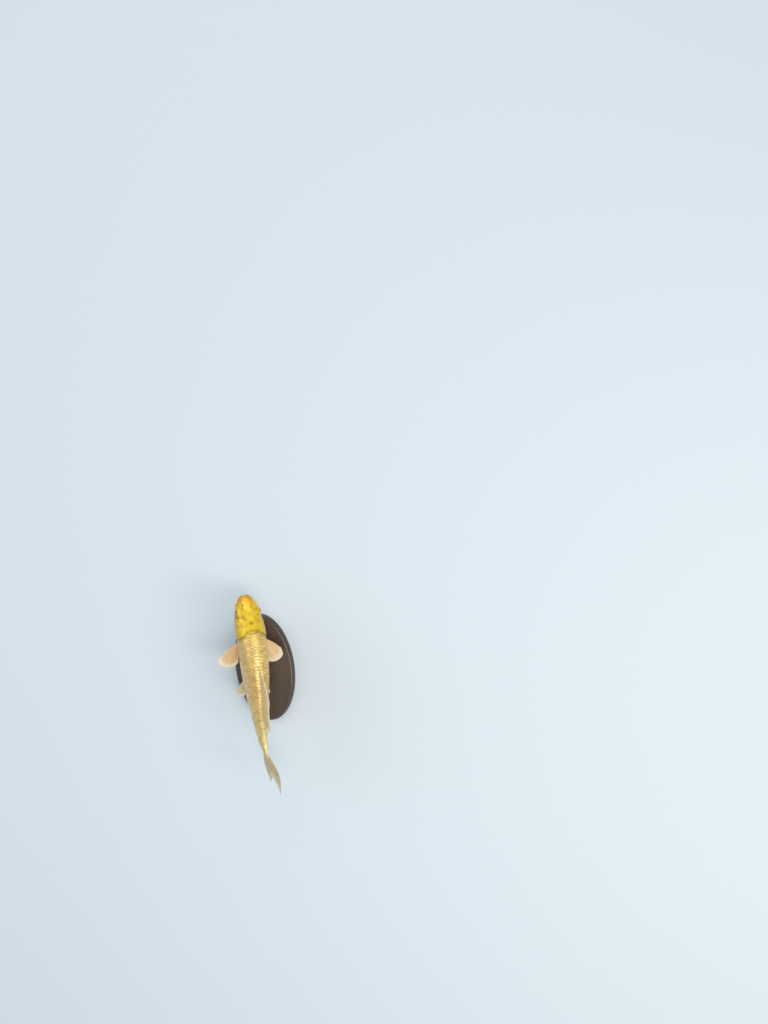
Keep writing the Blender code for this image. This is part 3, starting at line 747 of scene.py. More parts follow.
@dataclass(frozen=True)
class KoiForm:
    """Outline of the straight fish, and the places on it that its parts share."""

    length: float = 0.160
    head_share: float = 0.205
    body_end: float = 0.817
    widest_level: float = 0.47
    crown_power: float = 2.45
    back_power: float = 2.05
    belly_power: float = 2.30
    eye_station: float = 0.087
    eye_level: float = 0.0125
    eye_radius: float = EYE_RADIUS * MM
    eye_stands_out: float = 0.0010
    # Station, back, belly and half width in shares of the length.
    outline: tuple[tuple[float, float, float, float], ...] = (
        (0.000, -0.0125, -0.0125, 0.0000),  # snout tip
        (0.012, 0.0095, -0.0320, 0.0275),  # lips
        (0.035, 0.0245, -0.0420, 0.0430),  # nostrils
        (0.085, 0.0480, -0.0550, 0.0620),  # eyes
        (0.140, 0.0690, -0.0690, 0.0690),  # cheeks
        (0.205, 0.0890, -0.0820, 0.0725),  # nape and gill openings
        (0.290, 0.1060, -0.0940, 0.0725),
        (0.380, 0.1130, -0.1000, 0.0680),  # deepest, at the front of the dorsal fin
        (0.480, 0.1060, -0.0960, 0.0575),
        (0.600, 0.0820, -0.0740, 0.0400),
        (0.700, 0.0560, -0.0500, 0.0250),
        (0.755, 0.0465, -0.0425, 0.0170),  # tail stem
        (0.780, 0.0480, -0.0440, 0.0120),
        (0.800, 0.0480, -0.0440, 0.0076),  # scaly root of the tail fin
        (0.816, 0.0460, -0.0420, 0.0040),
        (0.828, 0.0430, -0.0390, 0.0012),
    )
    # Rear edge of the head's bare skin: angle from the back in degrees, station. Scales run
    # forward over the nape, the gill opening begins at 42, its cover reaches furthest back at 85,
    # and the gill membranes meet under the throat at 174.
    collar_knots: Pairs = (
        (-22.0, 0.179), (0.0, 0.173), (22.0, 0.179), (42.0, 0.196), (62.0, 0.208), (85.0, 0.212),
        (105.0, 0.2105), (125.0, 0.201), (145.0, 0.180), (162.0, 0.150), (174.0, 0.124), (180.0, 0.119),
        (187.0, 0.124),
    )

    @cached_property
    def curves(self) -> tuple[MonotoneCurve, ...]:
        """Curves over the square root of the station, which rounds the snout.

        Returns:
            Back, belly and half width.
        """
        stations, *columns = zip(*self.outline)
        roots = [math.sqrt(station) for station in stations]
        return tuple(MonotoneCurve(tuple(zip(roots, column))) for column in columns)

    @cached_property
    def collar_curve(self) -> MonotoneCurve:
        """The collar's station over the angle in degrees."""
        return MonotoneCurve(self.collar_knots)

    def collar(self, angle: Array) -> Array:
        """Station of the head's rear edge at angles round the body, in radians."""
        return self.collar_curve(np.degrees(folded(angle)))

    def section(self, station: Array | float) -> tuple[Array, Array, Array, Array]:
        """Reads the outline.

        Args:
            station: shares of the length.

        Returns:
            Back level, belly level, half width and the back's power.
        """
        root = np.sqrt(np.maximum(station, 0.0))
        crown = np.clip((self.head_share - station) / self.head_share, 0.0, 1.0)
        power = mixed(self.back_power, self.crown_power, crown)
        back, belly, half = self.curves
        return back(root), belly(root), half(root), power

    def surface(self, station: Array | float, angle: Array | float) -> Array:
        """Points of the body's surface.

        Args:
            station: shares of the length.
            angle: radians, 0 on the back and a quarter turn on the left flank.

        Returns:
            Points of the straight fish, in metres.
        """
        back, belly, half, back_power = self.section(station)
        level = belly + self.widest_level * (back - belly)
        across, up = np.sin(angle), np.cos(angle)
        power = np.where(up >= 0, back_power, self.belly_power)
        reach = np.where(up >= 0, back - level, level - belly)
        x = half * np.sign(across) * np.abs(across) ** (2 / power)
        z = level + reach * np.sign(up) * np.abs(up) ** (2 / power)
        return stacked(x, station, z) * self.length

    def normal(self, station: Array, angle: Array) -> Array:
        """Outward directions of the body's surface, from small steps either way.

        Args:
            station: shares of the length.
            angle: radians round the body.

        Returns:
            Unit vectors.
        """
        step, turn = 0.0006, 0.02
        ahead = self.surface(np.maximum(station - step, 0.0), angle)
        along = self.surface(station + step, angle) - ahead
        about = self.surface(station, angle + turn) - self.surface(station, angle - turn)
        return unit(np.cross(about, along))

    def eye_centre(self, side: Side) -> Array:
        """Centre of an eyeball.

        Args:
            side: whose it is.

        Returns:
            A point of the straight fish, in metres.
        """
        back, belly, half, power = self.section(self.eye_station)
        level = belly + self.widest_level * (back - belly)
        rise = (self.eye_level - level) / (back - level)
        flank = half * self.length * (1 - rise**power) ** (1 / power)
        x = side.value * (flank + self.eye_stands_out - self.eye_radius)
        return np.array([x, self.eye_station * self.length, self.eye_level * self.length])

    def root_gap(self, points: Array, ends: Pairs) -> Array:
        """Distance from a paired fin's root line, on whichever side is nearer.

        Args:
            points: points of the straight fish.
            ends: the line's two (station, turn in degrees) ends.

        Returns:
            Distances in metres.
        """
        here = np.concatenate([np.abs(points[..., :1]), points[..., 1:]], axis=-1)
        first, last = (self.surface(station, np.radians(turn)) for station, turn in ends)
        line = last - first
        share = np.clip(((here - first) @ line) / (line @ line), 0.0, 1.0)
        return np.linalg.norm(here - first - share[..., None] * line, axis=-1)

    def swellings(self, station: Array, angle: Array) -> Array:
        """Soft swellings at the fins' bases, which the skin and the scales over it share.

        Args:
            station: shares of the length.
            angle: radians round the body.

        Returns:
            How far the surface stands out beyond the plain outline, in metres.
        """
        points = self.surface(station, angle)
        x, z = points[..., 0] / MM, points[..., 2]
        back_fin = ease(station, 0.335, 0.365) * (1 - ease(station, 0.60, 0.63)) * (z > 0)
        anal_fin = ease(station, 0.612, 0.625) * (1 - ease(station, 0.67, 0.69)) * (z < 0)
        lift = 0.35 * hump(x, 1.1) * back_fin + 0.30 * hump(x, 0.9) * anal_fin
        for ends, height, width in ((PECTORAL_ROOT, 0.60, 1.9), (PELVIC_ROOT, 0.45, 1.5)):
            lift = lift + height * hump(self.root_gap(points, ends) / MM, width)
        return lift * MM


@dataclass(frozen=True)
class SwimPose:
    """The gentle swimming bend, the bank towards the fish's right, and the height over the base."""

    length: float = 0.160
    bank: float = math.radians(20.0)
    axis_height: float = 0.0490
    centre_share: float = 0.42
    steps: int = 400
    # Share of the length, heading towards the fish's right in degrees.
    headings: Pairs = (
        (0.00, 0.5), (0.18, -0.5), (0.36, -4.3), (0.55, -3.8), (0.71, -1.0), (0.79, 7.0), (0.85, 11.0),
        (0.92, 2.0), (1.00, -12.0),
    )

    @cached_property
    def axis(self) -> tuple[Array, Array, Array, Array]:
        """The bent axis that the whole fish follows.

        Returns:
            Stations in metres, and the axis's x, y and heading at each.
        """
        shares = np.linspace(0.0, 1.02, self.steps)
        heading = np.radians(MonotoneCurve(self.headings)(shares))
        step = np.diff(shares) * self.length
        middle = (heading[:-1] + heading[1:]) / 2
        x = np.concatenate([[0.0], np.cumsum(-np.sin(middle) * step)])
        y = np.concatenate([[0.0], np.cumsum(np.cos(middle) * step)])
        stations = shares * self.length
        centre = self.centre_share * self.length
        return stations, x - np.interp(centre, stations, x), y - np.interp(centre, stations, y), heading

    def place(self, points: Array) -> Array:
        """Bends, banks and raises points of the straight fish.

        Args:
            points: array of points whose last axis is x, y, z.

        Returns:
            The points in the frame of the stand.
        """
        stations, axis_x, axis_y, heading = self.axis
        across, station, level = points[..., 0], points[..., 1], points[..., 2]
        turn = np.interp(station, stations, heading)
        behind = station - np.clip(station, stations[0], stations[-1])
        x = np.interp(station, stations, axis_x) + across * np.cos(turn) - behind * np.sin(turn)
        y = np.interp(station, stations, axis_y) + across * np.sin(turn) + behind * np.cos(turn)
        lean, lift = math.sin(self.bank), math.cos(self.bank)
        return stacked(x * lift - level * lean, y, x * lean + level * lift + self.axis_height)


FORM = KoiForm()
POSE = SwimPose()


# ---- Meshes and pieces ----


def face_outwards(mesh: Mesh) -> None:
    """Turns the faces of a mesh outwards.

    Args:
        mesh: one or more closed shells.
    """
    turned = bmesh.new()
    turned.from_mesh(mesh)
    bmesh.ops.recalc_face_normals(turned, faces=turned.faces)
    if turned.calc_volume(signed=True) < 0:
        bmesh.ops.reverse_faces(turned, faces=turned.faces)
    turned.to_mesh(mesh)
    turned.free()


def mesh_of(name: str, points: Array, faces: Sequence[Sequence[int]]) -> Mesh:
    """A closed smooth-shaded mesh with its faces turned outwards.

    Args:
        name: the mesh's name.
        points: its vertices.
        faces: vertex indices of each face.

    Returns:
        The new mesh.
    """
    mesh = bpy.data.meshes.new(name)
    mesh.from_pydata(points.reshape(-1, 3).tolist(), [], [tuple(map(int, face)) for face in faces])
    face_outwards(mesh)
    mesh.shade_smooth()
    return mesh


def store(mesh: Mesh, name: str, values: Array) -> None:
    """Writes a number or a vector at each vertex.

    Args:
        mesh: mesh that takes the attribute.
        name: the attribute's name.
        values: one row for each vertex.
    """
    values = np.asarray(values, np.float32)
    wide = values.ndim > 1
    attribute = mesh.attributes.new(name, "FLOAT_VECTOR" if wide else "FLOAT", "POINT")
    attribute.data.foreach_set("vector" if wide else "value", values.ravel())


def read(rows: bpy.types.bpy_prop_collection, field: str, wide: int = 1) -> Array:
    """Reads one field of a mesh's data.

    Args:
        rows: the mesh's corners or faces, or an attribute's data.
        field: the field's name.
        wide: 3 for vectors, and 1 for whole numbers.

    Returns:
        A number or a vector for each row.
    """
    values = np.empty(len(rows) * wide, np.int32 if wide == 1 else np.float32)
    rows.foreach_get(field, values)
    return values if wide == 1 else values.reshape(-1, wide).astype(float)


def write_bake_map(mesh: Mesh, places: Array) -> None:
    """Writes the bake map of a mesh, one place for each face corner."""
    layer = mesh.uv_layers.new(name="OFBake")
    layer.data.foreach_set("uv", np.asarray(places, np.float32).ravel())


def in_scene(name: str, data: bpy.types.ID) -> Piece:
    """Sets a mesh, a light or a camera in the scene.

    Args:
        name: the object's name.
        data: its mesh, light or camera.

    Returns:
        The object, at the origin.
    """
    made = bpy.data.objects.new(name, data)
    bpy.context.scene.collection.objects.link(made)
    return made


def settle(name: str, mesh: Mesh, slot: str, *nodes: str, finish: Material | None = None) -> None:
    """Makes a finished piece, hands it to the frame and reports it.

    Args:
        name: the piece's name.
        mesh: its mesh.
        slot: the record's material slot that it takes its finish from; not used.
        *nodes: the frame's nodes that it stands for.
        finish: its material, unless the mesh already has it.
    """
    if finish:
        mesh.materials.append(finish)
    piece = in_scene(name, mesh)
    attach(piece, BODY)
    if nodes:
        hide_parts(*nodes)
    LOG.info("%s: %d triangles", name, len(mesh.loops) - 2 * len(mesh.polygons))


def grid_faces(rows: int, columns: int, wrap: bool = False, start: int = 0) -> list[tuple[int, ...]]:
    """Quads over a grid of vertices stored row by row.

    Args:
        rows: number of rows.
        columns: vertices in a row.
        wrap: whether the last column joins the first.
        start: index of the grid's first vertex.

    Returns:
        Vertex indices of each quad.
    """
    grid = start + np.arange(rows * columns).reshape(rows, columns)
    if wrap:
        grid = np.concatenate([grid, grid[:, :1]], axis=1)
    near, far = grid[:-1], grid[1:]
    quads = np.stack([near[:, :-1], near[:, 1:], far[:, 1:], far[:, :-1]], axis=-1)
    return [tuple(quad) for quad in quads.reshape(-1, 4).tolist()]


def tube_faces(rings: int, sides: int) -> list[tuple[int, ...]]:
    """Faces of a tube of rings, closed at both ends.

    Args:
        rings: number of rings.
        sides: vertices in a ring.

    Returns:
        Vertex indices of each face.
    """
    last = (rings - 1) * sides
    ends = [tuple(range(sides)), tuple(range(last, last + sides))]
    return grid_faces(rings, sides, wrap=True) + ends


# ---- Skin and scales ----


@dataclass(frozen=True)
class KoiSkin:
    """The one skin of the fish: lips, nostrils, orbits, gill covers, trunk and tail stem.

    Sizes are in millimetres unless they say shares.
    """

    columns: int = 288
    coat_depth: float = 0.42
    cap_share: float = 0.035
    cap_rows: int = 76
    trunk_start: float = 0.30
    edge_rows: tuple[float, ...] = (-0.25, -0.06, 0.0, 0.03, 0.45)
    mouth_level: float = -2.40
    mouth_slope: float = math.radians(24.0)
    mouth_corner: float = 3.6
    lip_height: float = 0.42
    nostril_x: float = 3.75
    nostril_y: float = 6.95
    orbit_rim: float = 1.95
    orbit_open: tuple[float, float] = (2.30, 2.75)
    orbit_blend: tuple[float, float] = (2.95, 4.60)
    gill_y: float = 25.9
    gill_z: float = -0.64
    gill_length: float = 7.84
    gill_height: float = 9.6
    # Sense pores: distance from the snout, height.
    pore_places: Pairs = (
        (8.6, -0.6), (9.9, -1.5), (11.4, -2.3), (13.1, -2.9), (14.9, -3.0), (16.6, -2.5), (18.0, -1.4),
        (18.6, 0.2), (18.9, 1.9), (19.8, 3.6), (21.6, 4.6), (23.8, 5.0),
    )
    # Angle from the back in degrees, how far the head's rear edge stands over the outline.
    edge_rise: Pairs = (
        (0.0, -0.16), (25.0, -0.10), (42.0, 0.12), (60.0, 0.34), (120.0, 0.36), (150.0, 0.28),
        (172.0, 0.16), (180.0, 0.10),
    )

    def stations(self, angles: Array) -> Array:
        """Stations of the grid's rows at each column, drawn together where detail is fine.

        Args:
            angles: the columns' angles.

        Returns:
            Shares of the length, rows by columns.
        """
        collar, level = FORM.collar(angles), np.ones_like(angles)
        cap = np.arange(1, self.cap_rows + 1) / self.cap_rows
        front = mixed(0.115, 0.085, ease(np.degrees(folded(angles)), 120.0, 180.0))
        edge = [collar + gap * (MM / FORM.length) for gap in self.edge_rows]
        spans = (
            (self.cap_share * level, front, 90), (front, edge[0], 44),
            (edge[-1], self.trunk_start * level, 22),
            (self.trunk_start * level, FORM.body_end * level, 85),
        )
        runs = [mixed(a, b, (np.arange(1, count + 1) / count)[:, None]) for a, b, count in spans]
        snout = np.repeat((cap**2 * self.cap_share)[:, None], len(angles), 1)
        return np.concatenate([snout, *runs[:2], np.stack(edge[1:]), *runs[2:]])

    def mouth(self, place: Array) -> Array:
        """Lips, the slit between them, and the fold that frees the upper jaw.

        Args:
            place: x, y and z of the outline, in mm.

        Returns:
            Heights over it, in mm.
        """
        _, y, z = place
        above = (z - self.mouth_level + math.tan(self.mouth_slope) * y) * math.cos(self.mouth_slope)
        beyond = np.maximum(y - self.mouth_corner, 0.0) * 1.09
        away = np.hypot(above, beyond)
        open_part = 1 - ease(beyond, 0.0, 1.3)
        upper = self.lip_height * hump(away - 0.82, 0.46)
        lower = self.lip_height * 0.86 * hump(away - 0.76, 0.44)
        lips = np.where(above > 0, upper, lower) * open_part
        slit = -0.80 * hump(away, 0.20) * (1 - ease(beyond, 0.0, 0.9))
        fold = -0.26 * hump(away - 1.75, 0.30) * (1 - ease(beyond, 1.2, 3.2))
        return lips + slit + fold

    def nostrils(self, place: Array) -> Array:
        """Each side's front and rear nostril and the flap of skin that stands between them.

        Args:
            place: x, y and z of the outline, in mm.

        Returns:
            Heights over it, in mm.
        """
        x, y, z = place
        aside = np.abs(x) - self.nostril_x
        along = y - self.nostril_y
        front = -0.62 * hump(np.hypot(aside, along + 0.66), 0.36, 3.0)
        rear = -0.72 * hump(np.hypot(aside / 1.35, along - 0.60), 0.44, 3.0)
        flap = 0.42 * hump(along + 0.06 - 0.30 * aside**2, 0.19) * hump(aside, 0.60, 4.0)
        rim = 0.07 * hump(np.hypot(aside / 1.15, along / 1.45) - 0.95, 0.30)
        return (front + rear + flap + rim) * (z > 0)

    def pores(self, place: Array) -> Array:
        """Sense pores in a row below the eye and down the cheek.

        Args:
            place: x, y and z of the outline, in mm.

        Returns:
            1 at a pore's middle, and 0 away from it.
        """
        x, y, z = place
        total = np.zeros_like(y)
        for at_y, at_z in self.pore_places:
            total = total + hump(np.hypot(y - at_y, z - at_z), 0.20)
        return total * (np.abs(x) > 4.0)

    def gill_cover(self, place: Array) -> Array:
        """Cheek, preopercle grooves, and the bulging opercle with its fan of fine ridges.

        Args:
            place: x, y and z of the outline, in mm.

        Returns:
            Heights over it, in mm.
        """
        x, y, z = place
        along = (y - self.gill_y) / self.gill_length
        up = (z - self.gill_z) / self.gill_height
        ring = np.hypot(along, up)
        ahead = ease(-along, 0.05, 0.35)
        flank = ease(np.abs(x), 5.0, 7.5)
        grooves = -0.22 * hump((ring - 1.0) * 8, 0.42) - 0.13 * hump((ring - 1.30) * 8, 0.45)
        bulge = 0.32 * np.clip(1 - ring * ring, 0.0, 1.0)
        cheek = 0.28 * hump(np.hypot((y - 17.6) / 3.2, (z + 3.2) / 3.0), 1.0)
        fan = 0.035 * np.sin(26 * np.arctan2(up + 0.55, along + 1.3)) * ease(ring, 0.15, 0.4)
        fan = fan * (1 - ease(ring, 0.82, 0.98))
        return (grooves * ahead + bulge + cheek + fan) * flank

    def throat(self, place: Array, gap: Array, degrees: Array) -> Array:
        """The gill membranes' ray folds, and the groove of the isthmus between them.

        Args:
            place: x, y and z of the outline, in mm.
            gap: how far it lies behind the collar, in mm.
            degrees: its angle from the back.

        Returns:
            Heights over the outline, in mm.
        """
        x, y, z = place
        folds = 0.0
        for behind in (1.5, 3.0, 4.5):
            folds = folds - 0.15 * hump(gap + behind, 0.30)
        folds = folds * ease(degrees, 122, 134) * (1 - ease(degrees, 166, 175))
        groove = -0.30 * hump(x, 0.55) * ease(y, 7.5, 11.0) * (z < -4)
        return folds + groove * (1 - ease(gap, -1.2, 0.0))

    def relief(self, station: Array, angle: Array, points: Array) -> tuple[Array, Array]:
        """How far the skin stands over the plain outline, and painted shade in its creases.

        Args:
            station: shares of the length.
            angle: radians round the body.
            points: the outline's points there.

        Returns:
            Heights in metres, and 0 to 1 for painted shade in folds, pits and pores and at the gill
            opening.
        """
        place = np.moveaxis(points, -1, 0) / MM
        x, y, z = place
        degrees = np.degrees(folded(angle))
        gap = (station - FORM.collar(angle)) * FORM.length / MM
        rise = MonotoneCurve(self.edge_rise)(degrees)
        plate = rise * (1 - ease(-gap, 0.2, 4.0)) - 0.10 * hump(gap, 0.20) * (gap <= 0)
        behind = ease(gap, 0.0, 0.03)
        hollow = 0.16 * np.exp(-np.maximum(gap, 0.0) / 2.0) * ease(degrees, 30, 55)
        pores = self.pores(place)
        fine = self.mouth(place) + self.nostrils(place) - 0.10 * pores
        head = plate + fine + self.gill_cover(place) + self.throat(place, gap, degrees)
        # Painted shade: the mouth's slit and folds, the nostrils, the sense pores and the gill opening's
        # edge are darkened.
        crease = np.clip(-1.6 * fine, 0.0, 0.85) + 0.5 * pores + 0.7 * hump(gap + 0.1, 0.5)
        # A shallow dip down the middle of the forehead, and brows over the eyes.
        head = head - 0.16 * hump(x, 1.5) * ease(y, 8.0, 12.0) * (1 - ease(y, 18.0, 23.0)) * (z > 0)
        vent = 0.35 * hump(np.hypot(x, y - 97.2), 0.9) * (z < 0)
        seam = 1 - 0.42 * ease(station, 0.795, 0.817)
        trunk = -(self.coat_depth + hollow) * seam + vent
        height = mixed(head, trunk, behind) * MM + FORM.swellings(station, angle) * behind
        return height, np.clip(crease, 0.0, 1.0) * (1 - behind)

    def orbits(self, points: Array) -> Array:
        """Sets each eye in a round opening with a soft raised rim and a furrow round it.

        Args:
            points: skin of the straight fish, in metres.

        Returns:
            The skin with its orbits.
        """
        made = points / MM
        for side in Side:
            axis = eye_axis(side)
            offset = made - FORM.eye_centre(side) / MM
            height = offset @ axis
            away = np.linalg.norm(offset - height[..., None] * axis, axis=-1)
            rim = self.orbit_rim - 0.95 * (1 - ease(away, *self.orbit_open))
            rim = rim + 0.12 * hump(away - 2.95, 0.30) - 0.10 * hump(away - 3.75, 0.35)
            share = (1 - ease(away, *self.orbit_blend)) * (height > 0)
            made = made + (share * (rim - height))[..., None] * axis
        return made * MM

    def build(self, finish: Material) -> None:
        """Makes the skin from snout to tail root as one closed mesh.

        Args:
            finish: its material.
        """
        angles = circle(self.columns)
        station = self.stations(angles)
        angle = np.broadcast_to(angles, station.shape)
        plain = FORM.surface(station, angle)
        lift, crease = self.relief(station, angle, plain)
        points = self.orbits(plain + lift[..., None] * FORM.normal(station, angle))
        rows, columns = station.shape
        faces = grid_faces(rows, columns, wrap=True, start=1)
        faces += [(0, 1 + j, 1 + (j + 1) % columns) for j in range(columns)]
        base = 1 + (rows - 1) * columns
        for j in range(columns // 2):
            loop = dict.fromkeys((j, j + 1, (columns - j - 1) % columns, (columns - j) % columns))
            faces.append(tuple(base + i for i in loop))
        points = np.concatenate([FORM.surface(np.zeros(1), np.zeros(1)), points.reshape(-1, 3)])
        mesh = mesh_of("koi_skin", POSE.place(points), faces)
        bare = station <= FORM.collar(angle) + 1e-6
        turn = folded(angle) / np.pi
        # Each with its value at the tip of the snout.
        fields = ((0.5, turn), (0.0, station), (0.0, np.sin(angle)), (1.0, bare), (0.0, crease))
        girth, along, across, bare, crease = (np.append(at_tip, grid) for at_tip, grid in fields)
        store(mesh, "body_place", np.stack([girth, along, across], 1))
        store(mesh, "bare", bare)
        # The painted shade of the head's folds and pits goes in an attribute of its own.
        store(mesh, "crease", crease)
        self.unwrap(mesh, along, columns)
        nodes = ("head", "jaw_lower", "gill_cover_left", "gill_cover_right")
        nodes += ("trunk_front", "trunk_rear", "tail_stem")
        settle("koi_skin", mesh, "head_skin", *nodes, finish=finish)

    @staticmethod
    def unwrap(mesh: Mesh, along: Array, columns: int) -> None:
        """Writes the bake map: girth across and station up, cut along the back.

        Args:
            mesh: the skin.
            along: each vertex's station.
            columns: vertices in a row.
        """
        corners, sizes = read(mesh.loops, "vertex_index"), read(mesh.polygons, "loop_total")
        face = np.repeat(np.arange(len(sizes)), sizes)
        column, off_tip = (corners - 1) % columns, corners > 0
        is_last = np.zeros(len(sizes), bool)
        is_last[face[off_tip & (column == columns - 1)]] = True
        place = np.where(is_last[face] & (column == 0), columns, column) * off_tip
        middle = np.bincount(face, place) / np.maximum(np.bincount(face, off_tip), 1)
        place = np.where(off_tip, place, middle[face])
        write_bake_map(mesh, np.stack([place / columns, along[corners]], 1))


def eye_axis(side: Side) -> Array:
    """The way an eye looks: out, a little forward and up."""
    return unit(np.array([side.value, -0.14, 0.20]))


@dataclass(frozen=True)
class ScaleChart:
    """Lays a flat sheet of scale columns and rows over the body.

    A place on the sheet is the number of columns behind the first and of rows above the
    reference line. Rows are as high as row_heights says, and columns keep in step with them.
    """

    reference: Pairs  # station, angle from the back in degrees
    first: float = 0.07
    last: float = 0.828
    aspect: float = 0.80
    # Station, height of a row of scales in millimetres.
    row_heights: Pairs = ((0.16, 2.9), (0.25, 3.15), (0.38, 3.4), (0.60, 3.1), (0.70, 2.7), (0.80, 2.3))

    @cached_property
    def tables(self) -> tuple[Array, Array, Array, Array]:
        """The sheet's places on the body.

        Returns:
            Stations, their columns, the rows, and the angle at each station and row.
        """
        stations = np.linspace(self.first, self.last, 500)
        angles = np.linspace(-1.0, np.pi + 1.0, 640)
        rows = np.linspace(-17.0, 17.0, 273)
        heights = MonotoneCurve(self.row_heights)(stations) * MM
        points = FORM.surface(stations[:, None], angles[None, :])
        steps = np.linalg.norm(np.diff(points, axis=1), axis=-1)
        arcs = np.concatenate([np.zeros((len(stations), 1)), np.cumsum(steps, axis=1)], axis=1)
        middle = np.radians(MonotoneCurve(self.reference)(stations))
        table = np.empty((len(stations), len(rows)))
        for i, arc in enumerate(arcs):
            start = np.interp(middle[i], angles, arc)
            table[i] = np.interp(start - rows * heights[i], arc, angles)
        pitch = self.aspect * (heights[:-1] + heights[1:]) / 2
        columns = np.concatenate([[0.0], np.cumsum(np.diff(stations) * FORM.length / pitch)])
        return stations, columns, rows, table

    def lay(self, column: Array, row: Array) -> tuple[Array, Array]:
        """Finds places of the sheet on the body.

        Args:
            column: columns behind the first.
            row: rows above the reference line.

        Returns:
            Their stations and angles.
        """
        stations, columns, rows, table = self.tables
        station = np.interp(column, columns, stations)
        i = np.clip(np.interp(station, stations, np.arange(len(stations))), 0, len(stations) - 1.001)
        j = np.clip(np.interp(row, rows, np.arange(len(rows))), 0, len(rows) - 1.001)
        i0, j0 = i.astype(int), j.astype(int)
        u, v = i - i0, j - j0
        near = mixed(table[i0, j0], table[i0, j0 + 1], v)
        far = mixed(table[i0 + 1, j0], table[i0 + 1, j0 + 1], v)
        return station, mixed(near, far, u)


FLANK_LINE = ((0.07, 67.0), (0.17, 69.0), (0.25, 80.0), (0.36, 89.0), (0.60, 91.0), (0.83, 91.5))
FLANK_CHART = ScaleChart(FLANK_LINE)
BACK_CHART = ScaleChart(((0.07, 0.0), (0.83, 0.0)))
BELLY_CHART = ScaleChart(((0.07, 180.0), (0.83, 180.0)))


@dataclass(frozen=True)
class ScalePlate:
    """One scale: a thin domed plate with a rounded rear rim, in columns, rows and millimetres."""

    across: int = 10
    insets: tuple[float, ...] = (0.0, 0.07, 0.42, 1.0)
    half_turn: float = math.radians(105.0)
    front: float = -1.25
    front_half: float = 0.80
    lift: float = 0.20
    depth: float = 0.45
    thickness: float = 0.10
    dome: float = 0.05

    def build(self) -> Piece:
        """Makes the plate, to be repeated over the fish.

        Returns:
            An object for the node tree; the caller removes it.
        """
        turn = np.linspace(-self.half_turn, self.half_turn, self.across + 1)
        rim_x, rim_y = np.sin(turn), RIM_MIDDLE + RIM_LENGTH * np.cos(turn)
        t = np.array(self.insets)[:, None]
        x = mixed(rim_x, np.linspace(-self.front_half, self.front_half, self.across + 1), t)
        y = mixed(rim_y, self.front, t)
        z = (y - self.front) * self.lift - self.depth - self.dome * x * x
        z = z - 0.035 * (t == 0)
        top = stacked(x, y, z)
        grid = np.arange(x.size).reshape(x.shape)
        around = np.concatenate([grid[:0:-1, 0], grid[0], grid[1:, -1]])
        under = top.reshape(-1, 3)[around]
        under[:, 2] -= self.thickness
        under[[0, -1], 2] += self.thickness * 0.7
        below = grid.size + np.arange(len(around))
        faces = grid_faces(*grid.shape)
        faces += zip(around[:-1], around[1:], below[1:], below[:-1], strict=True)
        faces += [tuple(below), (*grid[-1], below[-1], below[0])]
        points = np.concatenate([top.reshape(-1, 3), under])
        mesh = mesh_of("scale_plate", points, faces)
        store(mesh, "scale_place", points)
        return in_scene("scale_plate", mesh)


@dataclass(frozen=True)
class LinePore:
    """The small raised canal on each scale of the lateral line, in columns, rows and mm."""

    sides: int = 8
    # Along the plate, the canal's size as a share of its middle's.
    rings: Pairs = ((-0.30, 0.35), (-0.22, 1.0), (0.10, 1.0), (0.42, 0.85), (0.50, 0.30))

    def build(self) -> Piece:
        """Makes the canal: a short tube that rises out of the plate and ends in a rounded mouth.

        Returns:
            An object for the node tree; the caller removes it.
        """
        along, size = np.array(self.rings).T
        turn = circle(self.sides)
        plate = ScalePlate()
        base = (along - plate.front) * plate.lift - plate.depth
        x = 0.085 * size[:, None] * np.cos(turn)
        z = (base + 0.02)[:, None] + 0.17 * size[:, None] * np.sin(turn)
        points = stacked(x, along[:, None], z).reshape(-1, 3)
        mesh = mesh_of("line_pore", points, tube_faces(len(along), self.sides))
        store(mesh, "scale_place", points)
        return in_scene("line_pore", mesh)


